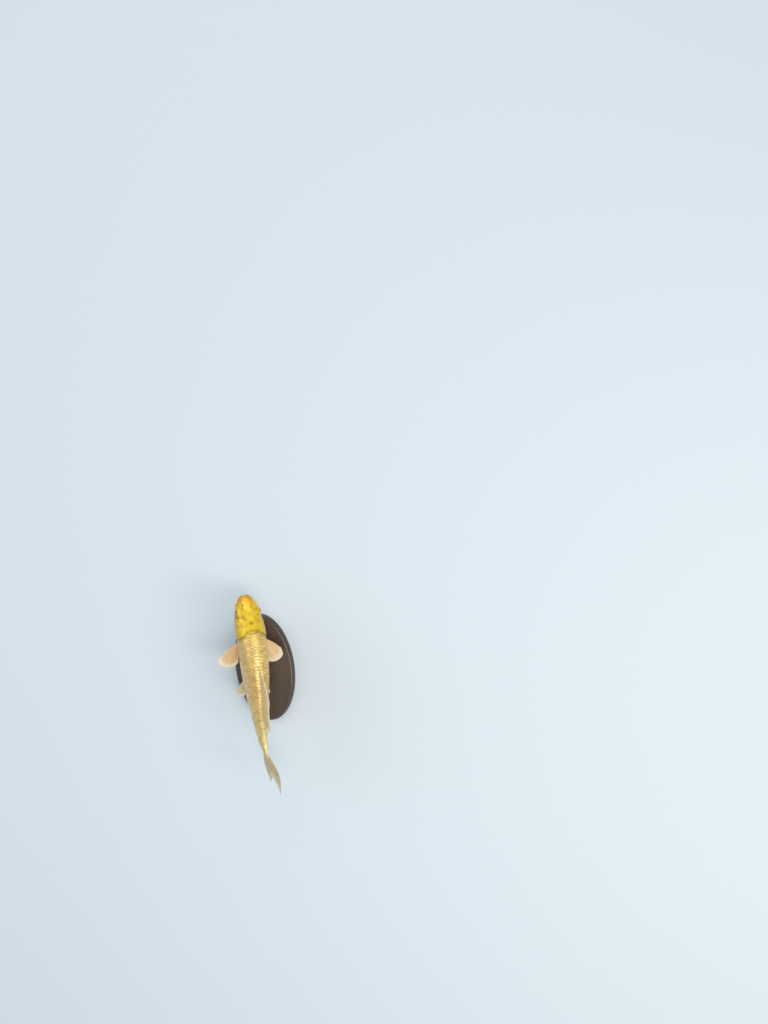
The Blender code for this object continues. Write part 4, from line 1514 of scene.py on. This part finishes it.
@dataclass(frozen=True)
class ScaleCoat:
    """Overlapping scales over one part of the fish, laid along its own lie."""

    name: str
    chart: ScaleChart
    spans: Pairs
    rows: range
    side: Side | None = None
    seed: int = 1
    raised: float = 0.0
    wobble: float = math.radians(1.2)
    tuck: float = 0.10
    # One column or row of a scale's own patch on the bake map.
    patch: float = 0.0007

    def roots(self) -> Array:
        """Middles of the scales on the sheet, alternate rows half a column apart.

        Returns:
            Column, row and 0 for each scale.
        """
        last = int(self.chart.tables[1][-1])
        places = np.array([(i + 0.5 * (j % 2), j, 0.0) for j in self.rows for i in range(last + 1)])
        station, angle = self.chart.lay(places[:, 0], places[:, 1])
        behind = (station - FORM.collar(angle)) * FORM.length / MM
        # Behind the shoulder of the gill cover the first scales start a little further back.
        degrees = np.degrees(folded(angle))
        keep = behind > 1.3 + 0.5 * ease(degrees, 70, 95) * (1 - ease(degrees, 140, 165))
        inside = np.zeros(len(places), bool)
        for start, end in self.spans:
            inside |= (station > start) & (station < end)
        keep &= inside
        if self.side:
            keep &= (angle > 0.02) & (angle < np.pi - 0.02)
            points = FORM.surface(station, angle)
            for ends, gap in ((PECTORAL_ROOT, 1.6), (PELVIC_ROOT, 1.4)):
                keep &= FORM.root_gap(points, ends) > gap * MM
        return places[keep]

    def laid_out(self, finish: Material) -> Mesh:
        """Repeats the plate over the flat sheet with a little disorder.

        Args:
            finish: the scales' material.

        Returns:
            The sheet's mesh: columns, rows and heights in mm in place of x, y and z.
        """
        sheet = bpy.data.meshes.new(self.name)
        roots = self.roots()
        sheet.from_pydata(roots.tolist(), [], [])
        store(sheet, "on_line", (np.abs(roots[:, 1]) < 0.1) & (self.side is not None))
        kit = NodeKit("scale_sheet")
        add = kit.add
        plate, pore = ScalePlate().build(), LinePore().build()
        sources = [kit.input("Plate", "Object", plate), kit.input("Pore", "Object", pore)]
        seed = kit.input("Seed", "Int", self.seed)
        wobble = kit.input("Wobble", "Float", self.wobble)
        size_change = kit.input("Size change", "Float", 0.03)
        points = kit.source.outputs["Geometry"]
        # A plate's own length runs along y, and the sheet's columns along x.
        lie = kit.input("Lie", "Float", -math.pi / 2)
        drawn = []
        for middle, change in ((lie, wobble), (1.0, size_change)):
            low, high = (add("Math", (middle, change), operation=way) for way in ("SUBTRACT", "ADD"))
            span = {2: low, 3: high, 8: seed}
            drawn.append(add("FunctionNodeRandomValue", span, out=1, data_type="FLOAT"))
        turn, size = add("CombineXYZ", {2: drawn[0]}), drawn[1]
        tone = add("FunctionNodeRandomValue", {8: seed}, out=1, data_type="FLOAT")
        root = add("GeometryNodeInputPosition")
        for name, value, kind in (("tone", tone, "FLOAT"), ("root", root, "FLOAT_VECTOR")):
            note = {0: points, "Name": name, "Value": value}
            points = add("GeometryNodeStoreNamedAttribute", note, data_type=kind)
        on_line = add("GeometryNodeInputNamedAttribute", ("on_line",), data_type="FLOAT")
        on_line = add("FunctionNodeCompare", (on_line, 0.5), operation="GREATER_THAN")
        parts = []
        for source, chosen in zip(sources, ({}, {1: on_line}), strict=True):
            shape = add("GeometryNodeObjectInfo", (source,), out=4)
            placing = {0: points, 2: shape, 5: turn, 6: size} | chosen
            parts.append(add("GeometryNodeInstanceOnPoints", placing))
        smooth = add("GeometryNodeSetShadeSmooth", (kit.joined(parts),))
        clad = add("GeometryNodeSetMaterial", {0: smooth, 2: kit.input("Finish", "Material", finish)})
        mesh = kit.run(in_scene(self.name, sheet), clad)
        for source in (plate, pore):
            bpy.data.objects.remove(source)
        return mesh

    def build(self, finish: Material) -> None:
        """Wraps the sheet of scales round the fish.

        Args:
            finish: the scales' material.
        """
        mesh = self.laid_out(finish)
        place, root = (read(mesh.attributes[name].data, "vector", 3) for name in ("position", "root"))
        station, angle = self.chart.lay(place[:, 0], place[:, 1])
        if self.side:
            # Plates that reach over the back or the belly tuck in beside the midline.
            margin = self.tuck
            over = np.minimum(angle - margin, 0.0) / margin
            under = np.minimum(np.pi - margin - angle, 0.0) / margin
            angle = np.where(angle < margin, margin * np.exp(over), angle)
            angle = np.where(angle > np.pi - margin, np.pi - margin * np.exp(under), angle)
        height = (place[:, 2] + self.raised) * MM + FORM.swellings(station, angle)
        points = FORM.surface(station, angle) + height[:, None] * FORM.normal(station, angle)
        mirror = self.side.value if self.side else 1
        points[:, 0] *= mirror
        posed = POSE.place(points).astype(np.float32).ravel()
        mesh.attributes["position"].data.foreach_set("vector", posed)
        mesh.update()
        face_outwards(mesh)
        across = np.sin(angle) * mirror
        store(mesh, "body_place", np.stack([folded(angle) / np.pi, station, across], 1))
        store(mesh, "bare", np.zeros(len(station)))
        root_station, root_angle = self.chart.lay(root[:, 0], root[:, 1])
        around = np.mod(root_angle * mirror / (2 * np.pi), 1.0)
        own = (place - root)[:, 1::-1] * self.patch
        places = np.stack([around, root_station], 1) + own
        write_bake_map(mesh, places[read(mesh.loops, "vertex_index")])
        settle(self.name, mesh, "body_scales")


# ---- Eyes and feelers ----


@dataclass(frozen=True)
class EyeBall:
    """A fish's round lidless eye, its cornea a little more curved than the ball."""

    side: Side
    rings: int = 44
    segments: int = 64
    cornea: float = 0.10
    cornea_reach: float = 2.5

    def build(self, finish: Material) -> None:
        """Makes the eyeball as a turned shape round the way it looks.

        Args:
            finish: its material.
        """
        polar = (np.arange(1, self.rings) / self.rings * np.pi)[:, None]
        turn = circle(self.segments)
        away = EYE_RADIUS * np.sin(polar)
        dome = np.clip(1 - (away / self.cornea_reach) ** 2, 0.0, 1.0) ** 1.5
        height = EYE_RADIUS * np.cos(polar) + self.cornea * dome * (polar < np.pi / 2)
        local = stacked(away * np.cos(turn), away * np.sin(turn), height).reshape(-1, 3)
        poles = np.array([[0.0, 0.0, EYE_RADIUS + self.cornea], [0.0, 0.0, -EYE_RADIUS]])
        local = np.concatenate([local, poles])
        axis = eye_axis(self.side)
        forward = unit(np.cross((0.0, 0.0, 1.0), axis))
        upward = np.cross(axis, forward)
        points = FORM.eye_centre(self.side) + (local @ np.stack([forward, upward, axis])) * MM
        faces = grid_faces(self.rings - 1, self.segments, wrap=True)
        front = len(local) - 2
        for j in range(self.segments):
            after = (j + 1) % self.segments
            last = front - self.segments
            faces += [(front, j, after), (front + 1, last + j, last + after)]
        mesh = mesh_of("eyeball", POSE.place(points), faces)
        spread = np.linalg.norm(local[:, :2], axis=1)
        spread = np.where(local[:, 2] < 0, EYE_RADIUS, spread)
        store(mesh, "eye_place", np.stack([spread, local[:, 0], local[:, 1]], 1))
        word = self.side.word
        settle(f"eyeball_{word}", mesh, "eye", f"eye_{word}", finish=finish)


@dataclass(frozen=True)
class Feeler:
    """A barbel: a tapering fleshy thread with a flared root and a blunt rounded tip."""

    place: str
    side: Side
    station: float
    turn: float
    length: float
    radius: float
    taper: float = 0.52
    rings: int = 34
    segments: int = 16
    root_depth: float = 0.0016

    def build(self, finish: Material) -> None:
        """Sweeps the barbel along its curve.

        Args:
            finish: its material.
        """
        side = self.side.value
        root = FORM.surface(self.station, math.radians(self.turn) * side)
        v = np.linspace(0.0, 1.0, self.rings)
        out = v * (self.length + self.root_depth) - self.root_depth
        sway = 0.00035 * np.sin(2.6 * np.pi * v) * v
        path = root + stacked(side * out * 0.93, out * (0.10 + 0.35 * v) + sway, -out * (0.18 + 0.22 * v))
        size = mixed(1.0, self.taper, v) + 0.55 * np.exp(-(np.maximum(out, 0.0) / 0.0007))
        tip = np.clip((1 - v) * (self.length / self.radius / self.taper), 0.0, 1.0)
        size = size * np.sqrt(np.clip(1 - (1 - tip) ** 2, 0.02, 1.0)) * self.radius
        along = unit(np.gradient(path, axis=0))
        first = unit(np.cross(along, (0.0, 1.0, 0.2)))
        second = np.cross(along, first)
        turn = circle(self.segments)[None, :, None]
        ring = first[:, None] * np.cos(turn) + second[:, None] * np.sin(turn)
        points = path[:, None] + ring * size[:, None, None]
        place = f"{self.place}_{self.side.word}"
        faces = tube_faces(self.rings, self.segments)
        mesh = mesh_of(f"feeler_{place}", POSE.place(points), faces)
        store(mesh, "feeler_place", np.repeat(v, self.segments))
        settle(f"feeler_{place}", mesh, "barbel_skin", f"barbel_{place}", finish=finish)


# ---- Fins ----


@dataclass(frozen=True, kw_only=True)
class Fin:
    """A fin: thin skin with a scalloped edge, stretched over jointed branching rays."""

    node: str
    rays: int
    tint: FinTint
    ray_radius: float = 0.33
    skin_root: float = 0.13
    skin_rim: float = 0.045
    root_depth: float = 0.0016
    scallop: float = 0.024
    wave: float = 0.5
    phase: float = 0.0
    spine: float = 1.35
    fork_first: float = 0.40
    fork_second: float = 0.68
    columns_between: int = 6
    rows: int = 48
    line_step: float = 0.32

    def blade(self, u: Array, v: Array) -> Array:
        """Middle of the flat fin at shares of the way across and along its rays, in metres."""
        raise NotImplementedError

    def grown(self, root: Array, ray: Array, reach: Array, v: Array, inwards: Array) -> Array:
        """Points along rays from root, reach metres long, that start a little inwards of it."""
        out = (v * (reach + self.root_depth) - self.root_depth)[..., None]
        return root + np.where(out > 0, ray * out, inwards * -out)

    def normal(self, u: Array, v: Array) -> Array:
        """The way the fin's face points.

        Args:
            u: shares of the way across.
            v: shares of the way along the rays.

        Returns:
            Unit vectors.
        """
        step = 0.004
        v = np.clip(v, 0.12, 1.0)
        low, high = np.clip(u - step, 0, 1), np.clip(u + step, 0, 1)
        across = self.blade(high, v) - self.blade(low, v)
        along = self.blade(u, v + step) - self.blade(u, v - step)
        return unit(np.cross(across, along))

    def surface(self, u: Array, v: Array, off: Array) -> Array:
        """Points of the gently waving fin.

        Args:
            u: shares of the way across.
            v: shares of the way along the rays.
            off: distance from the fin's middle in mm.

        Returns:
            Points of the straight fish, in metres.
        """
        u, v, off = np.broadcast_arrays(u, v, off)
        roll = np.sin(2 * np.pi * (1.15 * u + 0.45 * v) + self.phase)
        flutter = np.sin(2 * np.pi * (3.1 * u - 0.30 * v) + 2.0 * self.phase)
        lift = self.wave * v**2 * (roll + 0.35 * flutter)
        return self.blade(u, v) + (lift + off)[..., None] * MM * self.normal(u, v)

    def edge(self, u: Array) -> Array:
        """How far along the rays the skin reaches, drawn in between the rays' ends."""
        return 1.0 - self.scallop * (0.5 - 0.5 * np.cos(2 * np.pi * u * (self.rays - 1))) ** 1.3

    def reach_mm(self, u: Array, v: Array) -> Array:
        """Distance of a place from the fin's root along its ray, in mm."""
        root = self.blade(u, np.full_like(u, 0.05))
        return np.linalg.norm(self.blade(u, v) - root, axis=-1) / MM

    def membrane(self) -> Mesh:
        """The skin as one closed thin sheet.

        Returns:
            Its mesh, with fin_place stored.
        """
        columns = (self.rays - 1) * self.columns_between + 1
        u = np.linspace(0.0, 1.0, columns)[None, :]
        share = np.linspace(0.0, 1.0, self.rows)[:, None]
        u, v = np.broadcast_arrays(u, share * self.edge(u))
        rounding = np.sqrt(np.clip(1 - ((share - 0.94) / 0.06).clip(0, 1) ** 2, 0.05, 1))
        thick = mixed(self.skin_root, self.skin_rim, v) * rounding
        sheets = [self.surface(u, v, thick * sign) for sign in (1, -1)]
        count = self.rows * columns
        faces = grid_faces(self.rows, columns) + grid_faces(self.rows, columns, start=count)
        grid = np.arange(count).reshape(self.rows, columns)
        ring = [*grid[0], *grid[1:, -1], *grid[-1, -2::-1], *grid[-2:0:-1, 0]]
        for a, b in zip(ring, ring[1:] + ring[:1], strict=True):
            faces.append((a, b, b + count, a + count))
        points = np.concatenate([sheet.reshape(-1, 3) for sheet in sheets])
        mesh = mesh_of(f"{self.node}_skin", POSE.place(points), faces)
        marks = stacked(u, v, self.reach_mm(u, v)).reshape(-1, 3)
        store(mesh, "fin_place", np.concatenate([marks, marks]))
        return mesh

    def ray_spans(self) -> list[tuple[float, ...]]:
        """Stems and branches of the rays, the first of which doesn't fork.

        Returns:
            Start and end of each across the rays, its start and end along them, and its stoutness.
        """
        gap = 1.0 / (self.rays - 1)
        first, second, overlap = self.fork_first, self.fork_second, 0.03
        spans = [(0.0, 0.0, 0.0, 0.985, self.spine)]
        for k in range(1, self.rays):
            middle = k * gap
            spans.append((middle, middle, 0.0, first + overlap, 1.0))
            # The last ray forks only towards the others.
            halves = (-0.13,) if k == self.rays - 1 else (-0.13, 0.13)
            for half in halves:
                spans.append((middle, middle + half * gap * 1.1, first, second + overlap, 0.84))
            for half in halves:
                for quarter in (0.045, 0.235):
                    end = middle + math.copysign(quarter, half) * gap * 1.35
                    spans.append((middle + half * gap, end, second, 0.99, 0.70))
        return spans

    def ray_lines(self) -> Mesh:
        """The rays as lines that fork twice, with the tubes' radii stored at their points.

        Returns:
            A mesh of edges.
        """
        points, edges, radii, marks = [], [], [], []
        total = 0
        for left, right, low, high, stout in self.ray_spans():
            ends = self.reach_mm(np.array([left, right]), np.array([low, high]))
            count = max(4, int((ends[1] - ends[0]) / self.line_step))
            t = np.linspace(0.0, 1.0, count)
            u = np.clip(mixed(left, right, ease(t, 0.0, 1.0)), 0.0, 1.0)
            v = np.minimum(mixed(low, high, t), self.edge(u) - 0.006)
            reach = self.reach_mm(u, v)
            # The joints pinch the outer part of each ray.
            pinch = 0.10 * (0.5 + 0.5 * np.cos(2 * np.pi * reach / JOINT_MM)) * ease(v, 0.18, 0.30)
            size = self.ray_radius * stout * mixed(1.0, 0.46, v**0.85) * (1 - pinch)
            points.append(self.surface(u, v, np.zeros_like(u)))
            radii.append(size * MM)
            marks.append(stacked(u, v, reach))
            edges += [(total + i, total + i + 1) for i in range(count - 1)]
            total += count
        mesh = bpy.data.meshes.new(f"{self.node}_lines")
        mesh.from_pydata(POSE.place(np.concatenate(points)).tolist(), edges, [])
        store(mesh, "radius_here", np.concatenate(radii))
        store(mesh, "fin_place", np.concatenate(marks))
        return mesh

    def build(self, skin: Material, bone: Material) -> None:
        """Makes the fin, its rays turned to tubes by a node tree and joined to its skin.

        Args:
            skin: the membrane's material.
            bone: the rays' material.
        """
        sheet = in_scene(f"{self.node}_skin", self.membrane())
        kit = NodeKit("fin_rays")
        cover = kit.input("Skin", "Object", sheet)
        sides = kit.input("Sides", "Int", 6)
        skin_finish = kit.input("Skin finish", "Material", skin)
        bone_finish = kit.input("Ray finish", "Material", bone)
        curve = kit.add("GeometryNodeMeshToCurve", (kit.source.outputs["Geometry"],))
        radius = kit.add("GeometryNodeInputNamedAttribute", ("radius_here",), data_type="FLOAT")
        circle_line = kit.add("GeometryNodeCurvePrimitiveCircle", {0: sides, 4: 1.0})
        sweep = {"Curve": curve, "Profile Curve": circle_line, "Scale": radius, "Fill Caps": True}
        tubes = kit.add("GeometryNodeCurveToMesh", sweep)
        tubes = kit.add("GeometryNodeSetShadeSmooth", (tubes,))
        tubes = kit.add("GeometryNodeSetMaterial", {0: tubes, 2: bone_finish})
        web = kit.add("GeometryNodeObjectInfo", (cover,), out=4)
        web = kit.add("GeometryNodeSetMaterial", {0: web, 2: skin_finish})
        solid = kit.joined((tubes, web))
        name = self.node.replace("fin_", "finned_")
        mesh = kit.run(in_scene(name, self.ray_lines()), solid)
        bpy.data.objects.remove(sheet)
        settle(name, mesh, "fin_membrane", self.node)


@dataclass(frozen=True, kw_only=True)
class MidlineFin(Fin):
    """The dorsal or the anal fin: it stands on the midline and sweeps back."""

    upwards: bool
    tint: FinTint = BACK_TINT
    root: tuple[float, float]
    height: tuple[float, float]
    sweep: tuple[float, float]
    lean: tuple[float, float]
    tip_sweep: float = 8.0
    tip_lean: float = 6.0
    falling: float = 0.75
    front_share: tuple[float, float] = (0.74, 2.0)

    def blade(self, u: Array, v: Array) -> Array:
        """Middle of the flat fin.

        Args:
            u: shares of the way across.
            v: shares of the way along the rays.

        Returns:
            Points of the straight fish, in metres.
        """
        station = mixed(*self.root, u)
        sweep = np.radians(mixed(*self.sweep, u) + self.tip_sweep * v)
        lean = np.radians(mixed(*self.lean, u) + self.tip_lean * v)
        low, rise = self.front_share
        reach = FORM.length * mixed(*self.height, u**self.falling) * np.minimum(1.0, low + rise * u)
        sign = 1.0 if self.upwards else -1.0
        ray = stacked(-np.sin(lean) * np.cos(sweep), np.sin(sweep), np.cos(lean) * np.cos(sweep) * sign)
        root = FORM.surface(station, 0.0 if self.upwards else np.pi)
        return self.grown(root, ray, reach, v, np.array([0.0, 0.0, -sign]))


@dataclass(frozen=True, kw_only=True)
class PairedFin(Fin):
    """A pectoral or pelvic fin: it fans back and out from a short root."""

    side: Side
    tint: FinTint = PAIRED_TINT
    root: Pairs
    droop: float
    length: float
    chord: float
    rounding: float
    spread: tuple[float, float]

    def blade(self, u: Array, v: Array) -> Array:
        """Middle of the flat fin.

        Args:
            u: shares of the way across.
            v: shares of the way along the rays.

        Returns:
            Points of the straight fish, in metres.
        """
        side = self.side.value
        station, turn = self.root[0]
        angle = np.radians(turn + 7.0 * u) * side
        root = FORM.surface(station + self.chord * u, angle)
        back = np.radians(mixed(*self.spread, u) + 9.0 * v * (1 - u))
        fall = np.radians(self.droop + 8.0 * v - 7.0 * np.sin(np.pi * u))
        reach = FORM.length * self.length * (1 - 0.50 * u**self.rounding)
        reach = reach * np.minimum(1.0, 0.88 + 0.9 * u)
        out = np.cos(back)
        ray = stacked(side * out * np.cos(fall), np.sin(back), -out * np.sin(fall) - 0.10 * np.sin(back))
        inwards = stacked(-side * np.abs(np.sin(angle)), 0.0, -np.cos(angle))
        return self.grown(root, ray, reach, v, inwards)


@dataclass(frozen=True, kw_only=True)
class TailFin(Fin):
    """The forked caudal fin, its two lobes twisted a little over each other."""

    tint: FinTint = TAIL_TINT
    upper: float = 0.238
    lower: float = 0.236
    fork: float = 0.146
    tip_rounding: float = 0.14
    spread: float = math.radians(33.0)
    twist: float = math.radians(9.0)
    station: float = 0.780

    def blade(self, u: Array, v: Array) -> Array:
        """Middle of the flat fin.

        Args:
            u: shares of the way across.
            v: shares of the way along the rays.

        Returns:
            Points of the straight fish, in metres.
        """
        across = 1 - 2 * u
        share = np.abs(across)
        back, belly, _, _ = FORM.section(self.station)
        level = mixed(belly, back, 0.5 + 0.44 * across) * FORM.length
        fan = self.spread * np.sign(across) * share**0.85 * (1 - 0.22 * v)
        lobe = np.where(across > 0, self.upper, self.lower)
        worn = 1 - self.tip_rounding * np.maximum(0.0, (share - 0.8) / 0.2) ** 2
        reach = FORM.length * mixed(self.fork, lobe, share**1.5) * worn
        ray = stacked(0.0, np.cos(fan), np.sin(fan))
        root = stacked(0.0, self.station * FORM.length, level)
        flat = self.grown(root, ray, reach, v, np.array([0.0, -1.0, 0.0]))
        turn = self.twist * np.sin(np.pi * v)
        x, y, z = flat[..., 0], flat[..., 1], flat[..., 2]
        return stacked(x * np.cos(turn) - z * np.sin(turn), y, x * np.sin(turn) + z * np.cos(turn))


# ---- Stand ----


@dataclass(frozen=True, kw_only=True)
class StandPart:
    """A part of the stand: level oval loops from its bottom to its top, in its node's place."""

    node: str
    slot: str
    sides: int

    def loops(self, low: Vector, high: Vector) -> list[tuple[float, float, float]]:
        """Half width, half length and height of each loop, for a node with these corners."""
        raise NotImplementedError

    def build(self, finish: Material) -> None:
        """Makes the part.

        Args:
            finish: its material.
        """
        low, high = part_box(self.node)
        loops = self.loops(low, high)
        wide, deep, level = np.array(loops).T[:, :, None]
        turn = circle(self.sides)
        points = stacked(wide * np.cos(turn), deep * np.sin(turn), level)
        name = self.node.replace("stand_", "display_")
        mesh = mesh_of(name, points, tube_faces(len(loops), self.sides))
        mesh.transform(Matrix.Translation(((low.x + high.x) / 2, (low.y + high.y) / 2, low.z)))
        settle(name, mesh, self.slot, self.node, finish=finish)


@dataclass(frozen=True, kw_only=True)
class StandBase(StandPart):
    """The flat oval base, its edge routed to a bead, a quirk and a cove."""

    node: str = "stand_base"
    slot: str = "stand_wood"
    sides: int = 144
    # Inset from the widest outline and height in mm.
    profile: Pairs = (
        (0.60, 0.00), (0.35, 0.00), (0.12, 0.10), (0.00, 0.40), (0.00, 2.30), (0.06, 2.75), (0.28, 3.05),
        (0.55, 3.15), (0.62, 3.25), (0.64, 3.60), (0.72, 4.20), (0.92, 4.85), (1.30, 5.45), (1.62, 5.72),
        (1.66, 5.80), (1.68, 6.20), (1.75, 6.60), (1.98, 6.88), (2.35, 7.00), (2.90, 7.00), (6.00, 7.00),
    )

    def loops(self, low: Vector, high: Vector) -> list[tuple[float, float, float]]:
        """The profile's loops, set in from the node's widest outline."""
        half = (high - low) / 2
        return [(half.x - inset * MM, half.y - inset * MM, z * MM) for inset, z in self.profile]


@dataclass(frozen=True, kw_only=True)
class StandRod(StandPart):
    """A straight turned rod with a moulded foot that screws down on the base."""

    slot: str = "stand_steel"
    sides: int = 48
    # Radius and height over the rod's lowest point in mm.
    foot: Pairs = (
        (3.95, 0.00), (4.20, 0.15), (4.20, 0.80), (4.08, 1.08), (3.80, 1.22), (2.75, 1.36), (2.45, 1.50),
        (2.35, 1.75), (2.42, 2.00), (2.30, 2.25), (1.95, 2.36), (1.72, 2.55), (1.63, 2.90), (1.60, 3.40),
    )

    def loops(self, low: Vector, high: Vector) -> list[tuple[float, float, float]]:
        """The foot, and the rod above it up into the belly.

        Args:
            low: the node's lowest corner.
            high: its highest corner.

        Returns:
            Half width, half length and height of each loop, in metres.
        """
        top = (high.z - low.z) / MM
        profile = [*self.foot, (1.60, top * 0.5), (1.60, top - 0.5), (1.45, top - 0.15), (1.1, top)]
        return [(r * MM, r * MM, z * MM) for r, z in profile]


# ---- Studio ----


@dataclass(frozen=True)
class Softbox:
    """One soft rectangular light that looks at the fish."""

    name: str
    place: tuple[float, float, float]
    size: tuple[float, float]
    watts: float
    colour: str = "#FFFFFF"


@dataclass(frozen=True)
class Studio:
    """Pale floor, soft lights, and the camera straight above the fish."""

    camera_place: tuple[float, float, float] = (-0.1229, -0.1140, 0.6634)
    camera_roll: float = math.radians(9.6)
    lens: float = 27.07
    aim: tuple[float, float, float] = (0.0, 0.0, 0.05)
    floor_half: float = 1.7
    room_colour: str = "#DDE6EE"
    room_light: float = 0.80
    lights: tuple[Softbox, ...] = (
        Softbox("strip_over_back", (-0.57, 0.22, 1.09), (0.30, 1.30), 11.2, "#FFF8EC"),
        Softbox("window_left", (1.10, -0.50, 0.90), (0.90, 0.90), 4.2, "#F4F8FF"),
        Softbox("window_front", (-0.25, -1.30, 0.80), (1.00, 0.70), 4.5, "#FFFFFF"),
    )

    def build(self, paper: Material) -> None:
        """Sets the floor, the lights, the world and the camera.

        Args:
            paper: the floor's material.
        """
        scene = bpy.context.scene
        half = self.floor_half
        corners = [(-half, -half, 0.0), (half, -half, 0.0), (half, half, 0.0), (-half, half, 0.0)]
        floor_mesh = bpy.data.meshes.new("studio_floor")
        floor_mesh.from_pydata(corners, [], [(0, 1, 2, 3)])
        floor_mesh.materials.append(paper)
        in_scene("studio_floor", floor_mesh)
        for spec in self.lights:
            lamp = bpy.data.lights.new(spec.name, "AREA")
            lamp.shape = "RECTANGLE"
            lamp.size, lamp.size_y = spec.size
            lamp.energy = spec.watts
            lamp.color = linear(spec.colour)[:3]
            made = in_scene(spec.name, lamp)
            made.location = spec.place
            away = Vector(spec.place) - Vector(self.aim)
            made.rotation_euler = away.to_track_quat("Z", "Y").to_euler()
            made.visible_camera = False
        world = bpy.data.worlds.new("pale_room")
        world.use_nodes = True
        plug(world.node_tree.nodes["Background"], "Color", self.room_colour)
        plug(world.node_tree.nodes["Background"], "Strength", self.room_light)
        scene.world = world
        # The plain transform keeps the koi's strong yellow from washing out.
        scene.view_settings.view_transform = "Standard"
        self.set_camera()

    def set_camera(self) -> None:
        """Hangs the camera straight over the floor, rolled so that the fish lies as it should."""
        lens = bpy.data.cameras.new("overhead_camera")
        lens.lens = self.lens
        lens.clip_start = 0.01
        lens.clip_end = 20.0
        camera = in_scene("overhead_camera", lens)
        turn = Matrix.Rotation(math.pi - self.camera_roll, 4, "Z")
        camera.matrix_world = Matrix.Translation(self.camera_place) @ turn
        bpy.context.scene.camera = camera


# ---- The model ----


def make_fins() -> list[Fin]:
    """The fish's fins, set as the frame's solids are.

    Returns:
        The seven fins.
    """
    fins: list[Fin] = [
        MidlineFin(
            node="fin_dorsal", rays=20, upwards=True, root=(0.352, 0.612), height=(0.138, 0.080),
            sweep=(56.0, 50.0), lean=(17.0, 29.0), wave=0.45, phase=0.6,
        ),
        MidlineFin(
            node="fin_anal", rays=8, upwards=False, root=(0.622, 0.672), height=(0.092, 0.045),
            sweep=(50.0, 44.0), lean=(0.0, 0.0), tip_sweep=0.0, tip_lean=0.0, falling=0.8,
            front_share=(0.80, 1.2), wave=0.3, phase=2.0,
        ),
        TailFin(node="fin_caudal", rays=19, ray_radius=0.28, phase=1.1, spine=1.2, scallop=0.022),
    ]
    for side, front, rear, bias in (
        (Side.LEFT, (26.0, 80.0), (43.0, 84.0), 0.0), (Side.RIGHT, (24.0, 84.0), (47.0, 84.0), 1.7),
    ):
        pectoral = PairedFin(
            node=f"fin_pectoral_{side.word}", rays=15, side=side, root=PECTORAL_ROOT, droop=12.0,
            length=0.143, chord=0.032, rounding=2.2, spread=front, phase=0.9 + bias,
        )
        pelvic = PairedFin(
            node=f"fin_pelvic_{side.word}", rays=9, side=side, root=PELVIC_ROOT, droop=30.0,
            length=0.118, chord=0.018, rounding=1.3, spread=rear, tint=PELVIC_TINT, ray_radius=0.26,
            wave=0.35, phase=2.4 + bias,
        )
        fins += [pectoral, pelvic]
    return fins


def build_fish() -> None:
    """Makes the fish: skin, scales, eyes, feelers and fins."""
    KoiSkin().build(WetGoldSkin().build())
    scale = GoldScale().build()
    whole = ((0.10, 0.814),)
    for side, seed in ((Side.LEFT, 11), (Side.RIGHT, 29)):
        coat = ScaleCoat(f"scales_{side.word}", FLANK_CHART, whole, range(-14, 15), side, seed=seed)
        coat.build(scale)
    back_spans = ((0.17, 0.343), (0.628, 0.812))
    ScaleCoat("scales_back", BACK_CHART, back_spans, range(0, 1), seed=5, raised=0.05).build(scale)
    belly_spans = ((0.125, 0.612), (0.690, 0.812))
    ScaleCoat("scales_belly", BELLY_CHART, belly_spans, range(0, 1), seed=8, raised=0.05).build(scale)
    glaze, feeler = EyeGlaze().build(), FeelerSkin().build()
    for side in Side:
        EyeBall(side).build(glaze)
        Feeler("front", side, 0.021, 84.0, 0.0030, 0.00042).build(feeler)
        Feeler("rear", side, 0.040, 106.0, 0.0050, 0.00055).build(feeler)
    finishes = {
        tint: (FinMembrane(tint).build(), FinRay(tint).build())
        for tint in (PAIRED_TINT, PELVIC_TINT, BACK_TINT, TAIL_TINT)
    }
    for fin in make_fins():
        fin.build(*finishes[fin.tint])


def build_stand() -> None:
    """Makes the base and its two rods."""
    StandBase().build(StainedHardwood().build())
    steel = BrushedSteel().build()
    for node in ("stand_rod_front", "stand_rod_rear"):
        StandRod(node=node).build(steel)


def main() -> None:
    """Builds the whole model and its studio."""
    logging.basicConfig(level=logging.INFO, format="%(name)s %(message)s")
    build_fish()
    build_stand()
    Studio().build(StudioPaper().build())


if __name__ == "__main__":
    main()
